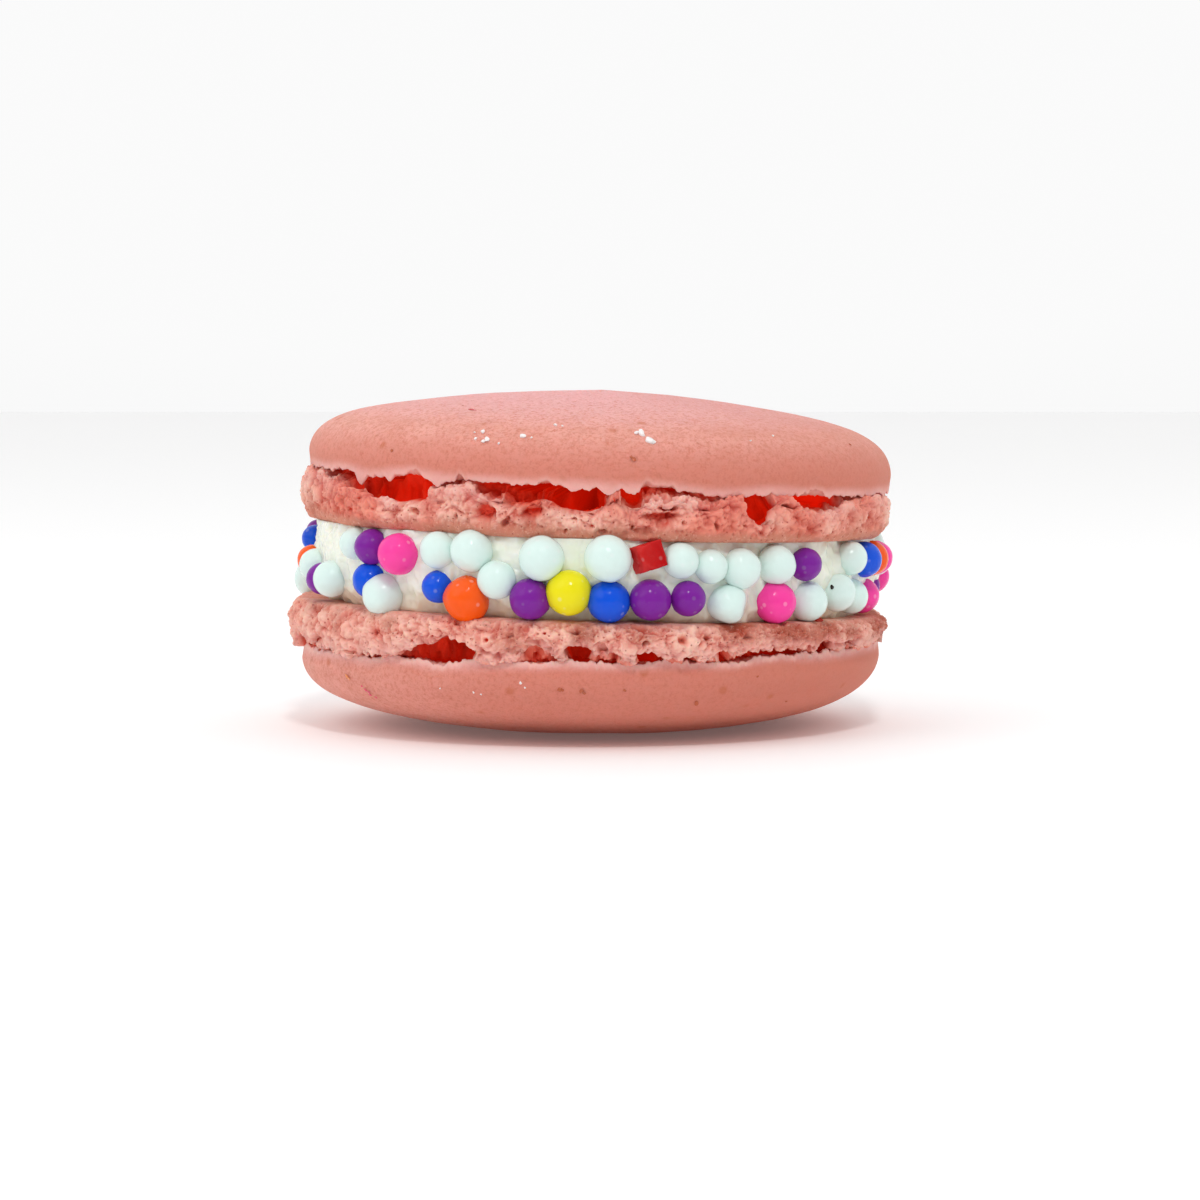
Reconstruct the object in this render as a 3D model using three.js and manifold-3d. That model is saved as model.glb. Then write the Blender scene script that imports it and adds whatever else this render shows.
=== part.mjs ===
// A filled macaron: two baked meringue shells with ragged feet, joined by a wedge of cream whose
// edge is rolled in sugar pearls. Millimetres, +Z up, the front of the macaron faces -Y.
import * as THREE from "three";
import { mergeVertices } from "three/addons/utils/BufferGeometryUtils.js";
import Module from "manifold-3d";

const wasm = await Module();
wasm.setup();

// Sizes that drive the model
const FACE_HEIGHT_LOWER = 9.68; // the flat face of the lower shell, above the table
const FACE_HEIGHT_UPPER = 15.7; // the flat face of the upper shell, above the table
const CENTRE_SHIFT = new THREE.Vector3(0.04, 0.32, 0); // puts the middle of the box on the Z axis
const FIT_GAP = 0.3; // between the cream or its pearls and a shell

// A shell is modelled dome up, with its flat face at height 0. Its lean is in slope, mm per mm of x.
const UPPER_SHELL = {
  seed: 8.2,
  axisX: 0.5,
  tilt: THREE.MathUtils.degToRad(1.8),
  footRadius: 23.65,
  footWidestAt: 0.72,
  footDraw: 0.75,
  domeRadius: 23.3,
  lipHeight: 3.9,
  lipLean: -0.017,
  domeHeight: 7.0,
  domeLean: 0.016,
  domePower: 3.3,
  domePeak: 0.3,
  backTearDraw: 11,
};
const LOWER_SHELL = {
  seed: 8.8,
  axisX: 0,
  tilt: THREE.MathUtils.degToRad(1.7),
  footRadius: 24.05,
  footWidestAt: 0.5,
  footDraw: 0.7,
  domeRadius: 23.15,
  lipHeight: 3.08,
  lipLean: 0.036,
  domeHeight: 7.05,
  domeLean: -0.018,
  domePower: 3.0,
  domePeak: 0,
  backTearDraw: 29,
};
const EDGE_ROUND = 0.6; // the rounded rim of a shell's flat face
const CREASE_OPEN = 0.28; // the gap under the lip where nothing has torn
const CREASE_DEEP = 0.95;
const LIP_ROUND = 0.2;
const LIP_WIDTH = 0.75; // how far the lip's underside reaches in before the crease drops away
const LIP_WAVER = 0.12; // how far the lip's edge rises and dips round the shell
const FOOT_SWELL = 0.22; // the foot's slow bulges and hollows round the shell
const FOOT_CRAG = 0.13; // its quick ones, which differ at every height
const FOOT_SHARES = [0.3, 0.55, 0.82]; // heights on the foot's face, as shares of its own height
const LEDGE_INSET = 0.35; // how far the foot's top draws in from its widest radius
const DOME_SHARES = [0.992, 0.955, 0.87, 0.72, 0.55, 0.39]; // places on the dome, as shares of its radius

// The tears between foot and dome that show at the front: bearing and half width in degrees from the
// front, positive to the right, then how far the tear opens and how deep it runs, in mm.
const UPPER_TEARS = [
  [-66, 4, 0.5, 0.8],
  [-42, 11.5, 1.6, 2.6],
  [-22, 4, 0.7, 1.0],
  [-4, 7.5, 1.1, 2.6],
  [6, 2.5, 0.5, 1.4],
  [31, 4, 1.9, 1.8],
  [47.5, 8, 1.0, 2.2],
];
const LOWER_TEARS = [
  [-68, 3, 0.5, 0.6],
  [-46, 5, 0.3, 0.4],
  [-28, 8, 1.4, 2.6],
  [-9, 4, 0.9, 0.6],
  [-2, 3, 0.9, 1.4],
  [11.5, 4, 0.8, 1.4],
  [38, 16, 0.25, 0.8],
  [50, 4, 0.7, 1.2],
];

// Tears behind these bearings are drawn by rule, each value from between two limits
const BACK_TEARS = {
  from: 72,
  to: 288,
  step: [9, 21],
  halfWidth: [3, 9],
  opens: [0.3, 1.4],
  deepens: [0.6, 2.4],
};

// Waves round a ring: the lowest number of them in one turn, and how many kinds are summed
const SLOW_WAVES = [4, 9];
const QUICK_WAVES = [19, 20];
const LIP_WAVES = [7, 16];
const CREAM_WAVES = [3, 10];

// The cream
const CREAM_RADIUS = 22.15;
const CREAM_SEED = 4.3;
const CREAM_BULGE = 0.25;
const CREAM_FOOT_INSET = 0.9; // how far the cream draws in where it meets the lower shell
const CREAM_WAVER = 0.18; // its slow bulges and hollows round the macaron
const CREAM_SHARES = [0, 0.16, 0.5, 0.84, 1]; // heights on the cream's edge, as shares of its thickness
const PEARL_STAND_OUT = 0.42; // share of a pearl's radius by which its centre clears the cream

// The pearls that show at the front: bearing in degrees, height of the centre and diameter in mm.
const FRONT_PEARLS = [
  [-101, 15.0, 2.0],
  [-96, 14.6, 2.1],
  [-84, 13.1, 2.4],
  [-74, 12.9, 2.55],
  [-68, 12.0, 2.4],
  [-62, 12.15, 2.65],
  [-53, 14.8, 2.4],
  [-47, 14.6, 2.6],
  [-39, 14.3, 3.05],
  [-47.5, 12.3, 2.7],
  [-43.2, 11.3, 3.0],
  [-30, 14.5, 2.7],
  [-30.2, 12.1, 2.2],
  [-22.8, 14.4, 3.1],
  [-24, 11.4, 3.3],
  [-17.8, 12.75, 2.8],
  [-9.2, 14.2, 3.3],
  [-11.5, 11.35, 3.0],
  [-4.2, 11.85, 3.25],
  [3, 14.2, 3.4],
  [3.2, 11.2, 3.1],
  [10.3, 14.3, 2.5],
  [11, 11.3, 3.0],
  [16.8, 14.1, 2.65],
  [18.2, 11.35, 2.55],
  [22.8, 13.7, 2.5],
  [25.8, 10.85, 2.75],
  [29.2, 13.5, 2.9],
  [36.8, 13.6, 2.85],
  [37, 10.8, 3.0],
  [44.5, 13.5, 2.35],
  [45.8, 10.7, 2.85],
  [55.2, 11.2, 2.85],
  [61.8, 10.75, 2.65],
  [60.5, 13.55, 2.45],
  [68, 13.5, 2.7],
  [76, 13.45, 2.7],
  [84.5, 13.3, 2.6],
  [91, 12.9, 2.3],
  [97, 14.0, 2.2],
  [72, 10.6, 2.65],
  [88, 11.0, 2.0],
];
const BACK_PEARLS = {
  draw: 5,
  rows: [
    { height: 13.9, first: 104, last: 252, step: 7.4 },
    { height: 11.35, first: 96, last: 262, step: 7.2 },
  ],
  smallest: 2.25,
  spread: 1.0,
  heightJitter: 0.5,
  bearingJitter: 1.6,
};

// How finely the solids are cut into facets
const SHELL_SIDES = 90;
const CREAM_SIDES = 48;
const PEARL_SIDES = 7;
const PEARL_BANDS = 4;
const PEARL_FACET_SWELL = 1.04; // a faceted ball looks smaller than the round one it stands for

// Chances between 0 and 1 that come out the same on every run
function drawsFrom(seed) {
  let state = seed;
  return () => {
    state = (state * 16807) % 2147483647;
    return state / 2147483647;
  };
}

// A wavy value near -1 to 1 round a closed ring: sines of whole frequencies, each with its own phase
function wave(angle, seed, [lowest, count]) {
  let sum = 0;
  for (let k = lowest; k < lowest + count; k += 1) {
    sum += Math.sin(k * angle + seed * k * k);
  }
  return sum / Math.sqrt(count);
}

// A smooth bump, 1 in the middle and 0 from its edge outwards
function bump(distance) {
  const left = Math.max(0, 1 - distance * distance);
  return left * left;
}

// The difference between two bearings in degrees, from -180 to 180
function turnBetween(a, b) {
  return ((((a - b + 180) % 360) + 360) % 360) - 180;
}

function backTears(seed) {
  const draw = drawsFrom(seed);
  const between = ([least, most]) => least + (most - least) * draw();
  const { from, to, step, halfWidth, opens, deepens } = BACK_TEARS;
  const tears = [];
  for (let bearing = from; bearing < to; bearing += between(step)) {
    tears.push([bearing, between(halfWidth), between(opens), between(deepens)]);
  }
  return tears;
}

// How far the tears open the crease, and how deep it runs, at a bearing
function tearAt(tears, bearing) {
  let open = CREASE_OPEN;
  let deep = CREASE_DEEP;
  for (const [at, halfWidth, opens, deepens] of tears) {
    const share = bump(turnBetween(bearing, at) / halfWidth);
    open += opens * share;
    deep += deepens * share;
  }
  return { open, deep };
}

// Outline of a shell at one bearing, from near the centre of its flat face to near the top of its dome.
// The foot's face bows out to footRadius, the crease runs in under the lip, and the dome rises from the
// lip as 1 - (r / R) squared, to the power 1 / domePower. domePeak hollows it a little round its top.
function shellOutline(shell, tears, angle, bearing) {
  const { footRadius, footWidestAt, footDraw, domeRadius, seed } = shell;
  const x = Math.sin(angle);
  const { open, deep } = tearAt(tears, bearing);
  const swell = FOOT_SWELL * wave(angle, seed, SLOW_WAVES);
  const level = shell.lipHeight + shell.lipLean * x * domeRadius;
  const lip = level + LIP_WAVER * wave(angle, seed + 5, LIP_WAVES);
  const footTop = lip - open;
  const footFace = (share, ring) => {
    const fromWidest = (share - footWidestAt) / Math.max(footWidestAt, 1 - footWidestAt);
    const crag = FOOT_CRAG * wave(angle, seed + 0.37 * ring, QUICK_WAVES);
    return [footRadius - footDraw * fromWidest * fromWidest + swell + crag, share * footTop];
  };
  const rim = edgeRadius(shell, angle);
  const ledge = footRadius - LEDGE_INSET + swell;
  return [
    [rim - EDGE_ROUND, 0],
    [rim - 0.15 * EDGE_ROUND, 0.35 * EDGE_ROUND],
    ...FOOT_SHARES.map((share, order) => footFace(share, order + 1)),
    [ledge - 0.1 * deep, footTop],
    [ledge - deep, footTop + 0.2 * open],
    [ledge - deep, lip - 0.1 * open],
    [domeRadius - LIP_WIDTH, lip],
    [domeRadius - LIP_ROUND, lip + LIP_ROUND],
    ...DOME_SHARES.map((share) => [domeRadius * share, domeHeightAt(shell, share, x)]),
  ];
}

// Height of the dome's surface at a share of its radius, x being the sine of the bearing
function domeHeightAt(shell, share, x) {
  const across = share * shell.domeRadius * x;
  const left = 1 - share * share;
  const rise = Math.pow(left, 1 / shell.domePower) - shell.domePeak * share * share * left * left;
  return shell.lipHeight + shell.lipLean * across + (shell.domeHeight + shell.domeLean * across) * rise;
}

// Radius of the rim of a shell's flat face
function edgeRadius(shell, angle) {
  return shell.footRadius - shell.footDraw + FOOT_SWELL * wave(angle, shell.seed, SLOW_WAVES);
}

// A closed skin over rings of points from one pole to the other, rings running anticlockwise from above
function skinOver(rings, firstPole, lastPole) {
  const sides = rings[0].length;
  const points = [firstPole, ...rings.flat(), lastPole];
  const last = points.length - 1;
  const index = [];
  const at = (ring, side) => 1 + ring * sides + (side % sides);
  for (let side = 0; side < sides; side += 1) {
    index.push(0, at(0, side + 1), at(0, side));
    for (let ring = 0; ring < rings.length - 1; ring += 1) {
      index.push(at(ring, side), at(ring, side + 1), at(ring + 1, side + 1));
      index.push(at(ring, side), at(ring + 1, side + 1), at(ring + 1, side));
    }
    index.push(last, at(rings.length - 1, side), at(rings.length - 1, side + 1));
  }
  const geometry = new THREE.BufferGeometry().setFromPoints(points);
  geometry.setIndex(index);
  geometry.computeVertexNormals();
  return geometry;
}

// Bearing 0 is the front, -Y, and bearings grow towards +X
function pointAt(angle, radius, height) {
  return new THREE.Vector3(radius * Math.sin(angle), -radius * Math.cos(angle), height);
}

// The shell's skin. turned is -1 for a shell that is turned over to lie on its dome: its own bearings
// then run the other way, and the table cuts a flat spot on the dome.
function shellGeometry(shell, frontTears, turned) {
  const tears = [...frontTears, ...backTears(shell.backTearDraw)];
  const columns = [];
  for (let side = 0; side < SHELL_SIDES; side += 1) {
    const angle = (2 * Math.PI * side) / SHELL_SIDES;
    const bearing = turned * THREE.MathUtils.radToDeg(angle);
    columns.push(shellOutline(shell, tears, angle, bearing).map(([r, h]) => pointAt(angle, r, h)));
  }
  const rings = columns[0].map((_, ring) => columns.map((column) => column[ring]));
  const top = new THREE.Vector3(0, 0, shell.lipHeight + shell.domeHeight);
  if (turned < 0) {
    [...rings.flat(), top].forEach((point) => {
      const table = (FACE_HEIGHT_LOWER + point.x * Math.sin(shell.tilt)) / Math.cos(shell.tilt);
      point.z = Math.min(point.z, table);
    });
  }
  return skinOver(rings, new THREE.Vector3(0, 0, 0), top);
}

// Height of a shell's flat face above the table, at a place across the macaron
function faceHeight(shell, x) {
  const atAxis = shell === UPPER_SHELL ? FACE_HEIGHT_UPPER : FACE_HEIGHT_LOWER;
  return atAxis - (x - shell.axisX) * Math.tan(shell.tilt);
}

// Radius of the cream's edge: it bulges at mid height and draws in where it meets the lower shell
function creamRadius(angle, share) {
  const bulge = CREAM_BULGE * Math.sin(Math.PI * share);
  const inset = CREAM_FOOT_INSET * Math.pow(1 - share, 4);
  return CREAM_RADIUS + bulge - inset + CREAM_WAVER * wave(angle + 0.5 * share, CREAM_SEED, CREAM_WAVES);
}

function creamGeometry() {
  const rings = CREAM_SHARES.map(() => []);
  const heightAt = (x, share) => {
    const low = faceHeight(LOWER_SHELL, x) + FIT_GAP;
    const high = faceHeight(UPPER_SHELL, x) - FIT_GAP;
    return low + share * (high - low);
  };
  for (let side = 0; side < CREAM_SIDES; side += 1) {
    const angle = (2 * Math.PI * side) / CREAM_SIDES;
    CREAM_SHARES.forEach((share, ring) => {
      const radius = creamRadius(angle, share);
      rings[ring].push(pointAt(angle, radius, heightAt(radius * Math.sin(angle), share)));
    });
  }
  return skinOver(rings, new THREE.Vector3(0, 0, heightAt(0, 0)), new THREE.Vector3(0, 0, heightAt(0, 1)));
}

// Pushes a pearl clear of the rounded rim of a shell. side is 1 for the shell above, -1 for the one below.
function clearOfRim(pearl, shell, side, gap) {
  const x = pearl.radius * Math.sin(pearl.angle);
  const turned = shell === UPPER_SHELL ? pearl.angle : -pearl.angle;
  const outward = pearl.radius - (edgeRadius(shell, turned) - EDGE_ROUND);
  const away = side * (faceHeight(shell, x) - pearl.height) + EDGE_ROUND;
  const reach = Math.hypot(Math.max(outward, 0), Math.max(away, 0));
  const lacking = pearl.diameter / 2 + EDGE_ROUND + gap - reach;
  if (lacking > 0) {
    pearl.radius += (lacking * Math.max(outward, 0)) / reach;
    pearl.height -= (side * lacking * Math.max(away, 0)) / reach;
  }
}

function settlePearl([bearing, height, diameter]) {
  const angle = THREE.MathUtils.degToRad(bearing);
  const low = FACE_HEIGHT_LOWER;
  const share = THREE.MathUtils.clamp((height - low) / (FACE_HEIGHT_UPPER - low), 0, 1);
  const radius = creamRadius(angle, share) + (PEARL_STAND_OUT * diameter) / 2;
  const pearl = { angle, height, diameter, radius };
  for (let round = 0; round < 3; round += 1) {
    clearOfRim(pearl, UPPER_SHELL, 1, FIT_GAP);
    clearOfRim(pearl, LOWER_SHELL, -1, FIT_GAP);
  }
  return pearl;
}

function backPearls() {
  const { draw: seed, rows, smallest, spread, heightJitter, bearingJitter } = BACK_PEARLS;
  const draw = drawsFrom(seed);
  const pearls = [];
  for (const { height, first, last, step } of rows) {
    for (let bearing = first; bearing <= last; bearing += step) {
      const jittered = bearing + bearingJitter * (draw() - 0.5);
      const raised = height + heightJitter * (draw() - 0.5);
      pearls.push([jittered, raised, smallest + spread * draw()]);
    }
  }
  return pearls;
}

function pearlGeometry(pearl) {
  const radius = (PEARL_FACET_SWELL * pearl.diameter) / 2;
  const ball = new THREE.SphereGeometry(radius, PEARL_SIDES, PEARL_BANDS);
  ball.rotateZ(pearl.angle);
  return ball.translate(...pointAt(pearl.angle, pearl.radius, pearl.height));
}

function solidOf(geometry) {
  const bare = geometry.clone().deleteAttribute("normal").deleteAttribute("uv");
  const merged = mergeVertices(bare, 1e-4);
  return new wasm.Manifold(
    new wasm.Mesh({
      numProp: 3,
      vertProperties: merged.getAttribute("position").array,
      triVerts: new Uint32Array(merged.index.array),
    }),
  );
}

function geometryOf(solid) {
  const mesh = solid.getMesh();
  const geometry = new THREE.BufferGeometry();
  geometry.setAttribute("position", new THREE.BufferAttribute(mesh.vertProperties, mesh.numProp));
  geometry.setIndex(new THREE.BufferAttribute(mesh.triVerts, 1));
  geometry.computeVertexNormals();
  return geometry;
}

// The cream with every pearl pressed into its edge, as one solid
function fillingGeometry() {
  let solid = solidOf(creamGeometry());
  for (const placed of [...FRONT_PEARLS, ...backPearls()]) {
    solid = solid.add(solidOf(pearlGeometry(settlePearl(placed))));
  }
  return geometryOf(solid);
}

const shellMaterial = new THREE.MeshStandardMaterial({ color: 0xdd9583, roughness: 0.7, metalness: 0 });
const creamMaterial = new THREE.MeshStandardMaterial({ color: 0xe9eadb, roughness: 0.45, metalness: 0 });

const lowerShell = new THREE.Mesh(shellGeometry(LOWER_SHELL, LOWER_TEARS, -1), shellMaterial);
lowerShell.name = "lower_shell";
lowerShell.position.set(LOWER_SHELL.axisX, 0, FACE_HEIGHT_LOWER);
lowerShell.rotation.y = Math.PI + LOWER_SHELL.tilt;

const filling = new THREE.Mesh(fillingGeometry(), creamMaterial);
filling.name = "filling";

const upperShell = new THREE.Mesh(shellGeometry(UPPER_SHELL, UPPER_TEARS, 1), shellMaterial);
upperShell.name = "upper_shell";
upperShell.position.set(UPPER_SHELL.axisX, 0, FACE_HEIGHT_UPPER);
upperShell.rotation.y = UPPER_SHELL.tilt;

const macaron = new THREE.Group();
macaron.add(lowerShell, filling, upperShell);
macaron.position.copy(CENTRE_SHIFT);

export default macaron;
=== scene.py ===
# %% [markdown]
# # A filled macaron, worked out as surfaces
#
# A macaron is two baked almond meringue shells with a layer of cream between them. Each shell
# has a smooth dome, a torn lip round its edge, and a crumbly foot that rose in the oven.
# This lesson builds every part of it as a function of two parameters, the bearing round the
# macaron and the way along a section, and puts the result into meshes with numpy.
#
# The solids of the part come first. They fix the size and the place of everything, and the
# finer surfaces below are laid over them.

# %% Load the fixed frame
import math

import bpy
import numpy as np
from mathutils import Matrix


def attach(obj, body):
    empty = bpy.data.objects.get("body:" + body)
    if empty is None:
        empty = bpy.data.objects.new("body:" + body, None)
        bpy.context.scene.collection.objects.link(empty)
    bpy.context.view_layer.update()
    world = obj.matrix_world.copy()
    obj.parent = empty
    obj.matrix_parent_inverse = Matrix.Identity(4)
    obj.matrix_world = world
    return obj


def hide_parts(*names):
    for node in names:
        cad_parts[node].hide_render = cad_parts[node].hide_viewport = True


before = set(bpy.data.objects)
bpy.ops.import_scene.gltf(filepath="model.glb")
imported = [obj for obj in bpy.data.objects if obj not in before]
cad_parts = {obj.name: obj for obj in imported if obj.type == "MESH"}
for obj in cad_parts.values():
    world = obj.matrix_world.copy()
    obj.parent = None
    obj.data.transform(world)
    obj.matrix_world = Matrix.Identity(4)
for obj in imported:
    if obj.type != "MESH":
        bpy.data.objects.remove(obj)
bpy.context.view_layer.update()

# %% [markdown]
# ## Sizes
#
# All lengths are in millimetres and become metres only when a mesh is made. Each shell is
# described dome up, with its flat face at height 0, and is then put in place: the upper one
# tilted a little, the lower one turned over so that it lies on its dome. These are the same
# driving sizes that shape the solids, so the fine surfaces follow them closely.
#
# In each table, foot_widest is the share of the foot's height at which it is widest, and
# foot_draw how far it draws in from there. Lip and dome are heights, and a lean is the height
# gained for each mm to the side. Power and peak shape the dome. Firm is the share of the foot's
# height below which it is smooth. The last seven entries only steer colour: the painted glow in
# the tears, the tan base of the foot, the heights between which the dome turns from painted shade
# on its sides to a pinker top that is partly painted sheen, painted shade on its right and painted
# light on its left, red in the crumb, and its brown patches, which on the lower foot also carry
# painted shade towards the right.

# %% Driving sizes
MM = 0.001
CENTRE = np.array([0.04, 0.32, 0.0])
FACE_HEIGHT_LOWER = 9.68
FACE_HEIGHT_UPPER = 15.7

UPPER = {
    "seed": 8.2, "axis_x": 0.5, "tilt": math.radians(1.8), "turned": 1, "face": FACE_HEIGHT_UPPER,
    "foot_radius": 23.65, "foot_widest": 0.72, "foot_draw": 0.75,
    "dome_radius": 23.3, "lip": 3.9, "lip_lean": -0.017,
    "dome": 7.0, "dome_lean": 0.016, "power": 3.3, "peak": 0.3,
    "tear_draw": 11, "firm": 0.1, "glow": 1.0, "tan": 1.0, "crown": (0.1, 0.98),
    "browned": 0.6, "left_light": 0.0, "flush": 0.3, "toasted": 0.5,
}
LOWER = {
    "seed": 8.8, "axis_x": 0.0, "tilt": math.radians(1.7), "turned": -1, "face": FACE_HEIGHT_LOWER,
    "foot_radius": 24.05, "foot_widest": 0.5, "foot_draw": 0.7,
    "dome_radius": 23.15, "lip": 3.08, "lip_lean": 0.036,
    "dome": 7.05, "dome_lean": -0.018, "power": 3.0, "peak": 0.0,
    "tear_draw": 29, "firm": -0.1, "glow": 0.7, "tan": 0.35, "crown": (0.7, 3.0),
    "browned": 0.9, "left_light": 0.35, "flush": 0.08, "toasted": 1.25,
}
# Height of the slow waves round a foot and round a lip, and how far the top of the foot steps in
FOOT_SWELL = 0.22
LIP_WAVER = 0.12
LEDGE_INSET = 0.35
print("feet across:", 2 * UPPER["foot_radius"], "and", 2 * LOWER["foot_radius"], "mm")

# %% [markdown]
# ## Noise made of arrays
#
# Crumb looks random, but a lesson has to give the same macaron on every run. So the noise comes
# from whole-number arithmetic on the cell that a point lies in, never from a random generator.
# Two kinds are enough: a soft cloud for grain and gentle waves, and the distance to the nearest
# of many scattered seeds, which gives round lumps where it is small and bubbles when turned
# inside out.

# %% Noise helpers
def chance(cell, seed):
    """One number from 0 to 1 for each cell: its three whole numbers times large odd ones, bits stirred."""
    x, y, z = (cell[..., k].astype(np.uint32) for k in range(3))
    salt = np.uint32((seed * 974634777 + 12345) % 4294967296)
    mixed = x * np.uint32(374761393) + y * np.uint32(668265263) + z * np.uint32(2246822519) + salt
    mixed = (mixed ^ (mixed >> np.uint32(13))) * np.uint32(1274126177)
    mixed = (mixed ^ (mixed >> np.uint32(15))) * np.uint32(2654435761)
    return (mixed ^ (mixed >> np.uint32(16))) / 4294967295.0


def cloud(points, size, seed):
    """Soft noise from -1 to 1: a value on each grid corner, blended between corners by 3t2 - 2t3."""
    scaled = points / size
    cell = np.floor(scaled)
    t = scaled - cell
    t = t * t * (3 - 2 * t)
    cell = cell.astype(np.int64)
    total = np.zeros(points.shape[:-1])
    for corner in np.ndindex(2, 2, 2):
        weight = np.prod(np.where(corner, t, 1 - t), axis=-1)
        total += weight * chance(cell + np.array(corner), seed)
    return 2 * total - 1


def nearest_seed(points, size, seed):
    """Distance to the nearest scattered seed, in cell sizes, and that seed's own chance."""
    scaled = points / size
    cell = np.floor(scaled).astype(np.int64)
    nearest = np.full(points.shape[:-1], np.inf)
    own = np.zeros(points.shape[:-1])
    for step in np.ndindex(3, 3, 3):
        home = cell + np.array(step) - 1
        place = np.stack([chance(home, seed + k) for k in range(3)], axis=-1)
        distance = np.linalg.norm(home + place - scaled, axis=-1)
        closer = distance < nearest
        own = np.where(closer, chance(home, seed + 3), own)
        nearest = np.where(closer, distance, nearest)
    return nearest, own


def ramp(low, high, value):
    """0 below low, 1 above high, and 3t2 - 2t3 between them."""
    t = np.clip((value - low) / (high - low), 0, 1)
    return t * t * (3 - 2 * t)


def bump(distance):
    """1 in the middle and 0 from 1 outwards: (1 - d2) squared."""
    left = np.clip(1 - distance * distance, 0, 1)
    return left * left


def wave(angle, seed, lowest, count):
    """Sines of whole frequencies round a ring, each with its own phase, seed times frequency squared."""
    k = np.arange(lowest, lowest + count)
    return np.sin(angle[..., None] * k + seed * k * k).sum(axis=-1) / math.sqrt(count)


print("noise at the origin:", cloud(np.zeros((1, 3)), 1.0, 3), nearest_seed(np.zeros((1, 3)), 1.0, 3))

# %% [markdown]
# ## Where the shells have torn
#
# While a shell bakes, its foot pushes up and tears away from the dome in places. Each tear has a
# bearing and a half width in degrees, how far it opens and how deep it runs. The front ones are
# listed one by one, those at the back follow a rule with seeded draws, the same draws as the solids.
# The lip also has flaps that hang down over the crumb and notches where a bit broke off.

# %% Tears, flaps and holes
UPPER_TEARS = [
    (-66, 4, 0.5, 0.8), (-42, 11.5, 1.6, 2.6), (-22, 4, 0.7, 1.0), (-4, 7.5, 1.1, 2.6),
    (6, 2.5, 0.5, 1.4), (31, 4, 1.9, 1.8), (47.5, 8, 1.0, 2.2),
]
LOWER_TEARS = [
    (-68, 3, 0.5, 0.6), (-46, 5, 0.3, 0.4), (-28, 8, 1.4, 2.6), (-9, 4, 0.9, 0.6),
    (-2, 3, 0.9, 1.4), (11.5, 4, 0.8, 1.4), (38, 16, 0.25, 0.8), (50, 4, 0.7, 1.2),
]
# Places where the crumb only slopes back to the lip, too soft to be in the solids
UPPER_SLOPES = [
    (-57, 9, 0.9, 1.2), (-32, 5, 0.5, 0.5), (-16, 9, 0.5, 0.6), (10, 7, 0.8, 0.7), (20, 5, 0.5, 0.6),
    (42, 8, 0.6, 1.0), (52, 6, 0.5, 0.6),
]
LOWER_SLOPES = [
    (-35, 5, 0.7, 1.1), (-12, 6, 0.4, 0.5), (3, 5, 0.4, 0.5), (30, 22, 0.3, 0.6), (55, 12, 0.25, 0.5),
]
BACK_TEARS = {
    "from": 72, "to": 288, "step": (9, 21), "half": (3, 9), "opens": (0.3, 1.4), "deep": (0.6, 2.4),
}

# Bearing, half width in degrees, and how far the lip hangs (positive) or is notched (negative), in mm
UPPER_FLAPS = [
    (-52.5, 2.4, 0.7), (-43.5, 1.4, 0.35), (-37.5, 2.4, -0.4), (-31.8, 3.0, 0.5), (-27.0, 1.5, -0.45),
    (-10.0, 2.0, -0.3), (-4.6, 1.7, 0.25), (1.6, 2.2, 0.5), (6.1, 1.9, 0.4), (8.5, 1.2, -0.3),
    (29, 1.6, 0.25), (36.6, 2.6, 0.75), (45, 5, -0.55), (12, 9, -0.25),
]
LOWER_FLAPS = [
    (-23, 2.5, 0.25), (-30, 3, -0.2), (-13, 2, 0.2), (15, 3, 0.2), (31, 1.5, -0.15), (58, 2, 0.2),
]

# Steep hollows in the foot: bearing, height above the flat face, half width, half height, depth
UPPER_HOLES = [
    (-53, 3.5, 2.2, 0.5, 1.4), (-44.6, 3.3, 2.5, 0.75, 2.0), (-37.4, 3.1, 1.6, 1.1, 1.9),
    (-27.1, 4.35, 0.4, 0.26, 0.8), (-21.7, 1.7, 0.9, 1.0, 1.3), (-12.1, 1.8, 0.75, 0.6, 0.9),
    (-5.6, 3.65, 2.4, 0.5, 1.9), (-66, 1.85, 0.45, 0.27, 0.5), (-56, 2.1, 0.6, 0.3, 0.6),
    (-58.1, 1.35, 0.36, 0.2, 0.5), (-46.1, 1.45, 0.24, 0.12, 0.4), (-36.2, 1.45, 0.27, 0.28, 0.7),
    (-27.3, 1.35, 0.22, 0.32, 0.8), (-17.2, 1.05, 0.23, 0.27, 0.8), (-4.5, 1.6, 0.22, 0.23, 0.6),
    (-1.6, 1.8, 0.34, 0.18, 0.4), (-6.3, 0.7, 0.18, 0.15, 0.5), (-1.2, 3.7, 0.46, 0.5, 1.8),
    (6.4, 3.55, 0.25, 0.16, 1.0), (8.5, 4.25, 0.46, 0.34, 0.45), (13, 2.7, 0.94, 0.37, 0.7),
    (11.7, 1.75, 1.6, 0.5, 0.9), (21, 2.7, 1.2, 0.37, 0.6), (30.7, 2.6, 1.4, 1.2, 1.8),
    (37.5, 2.75, 1.2, 0.24, 0.9), (47.3, 3.3, 2.9, 0.6, 2.0), (22, 1.3, 0.24, 0.3, 0.8),
    (15.3, 1.3, 0.14, 0.18, 0.6), (30.8, 0.75, 0.4, 0.26, 0.3), (40.6, 0.65, 0.38, 0.26, 0.3),
    (0.9, 0.8, 0.34, 0.2, 0.7), (6.1, 0.9, 0.16, 0.18, 0.6), (27, 1.35, 0.17, 0.15, 0.4),
    (32.7, 1.45, 0.18, 0.13, 0.6), (18.9, 2.35, 0.13, 0.24, 0.5),
]
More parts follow.
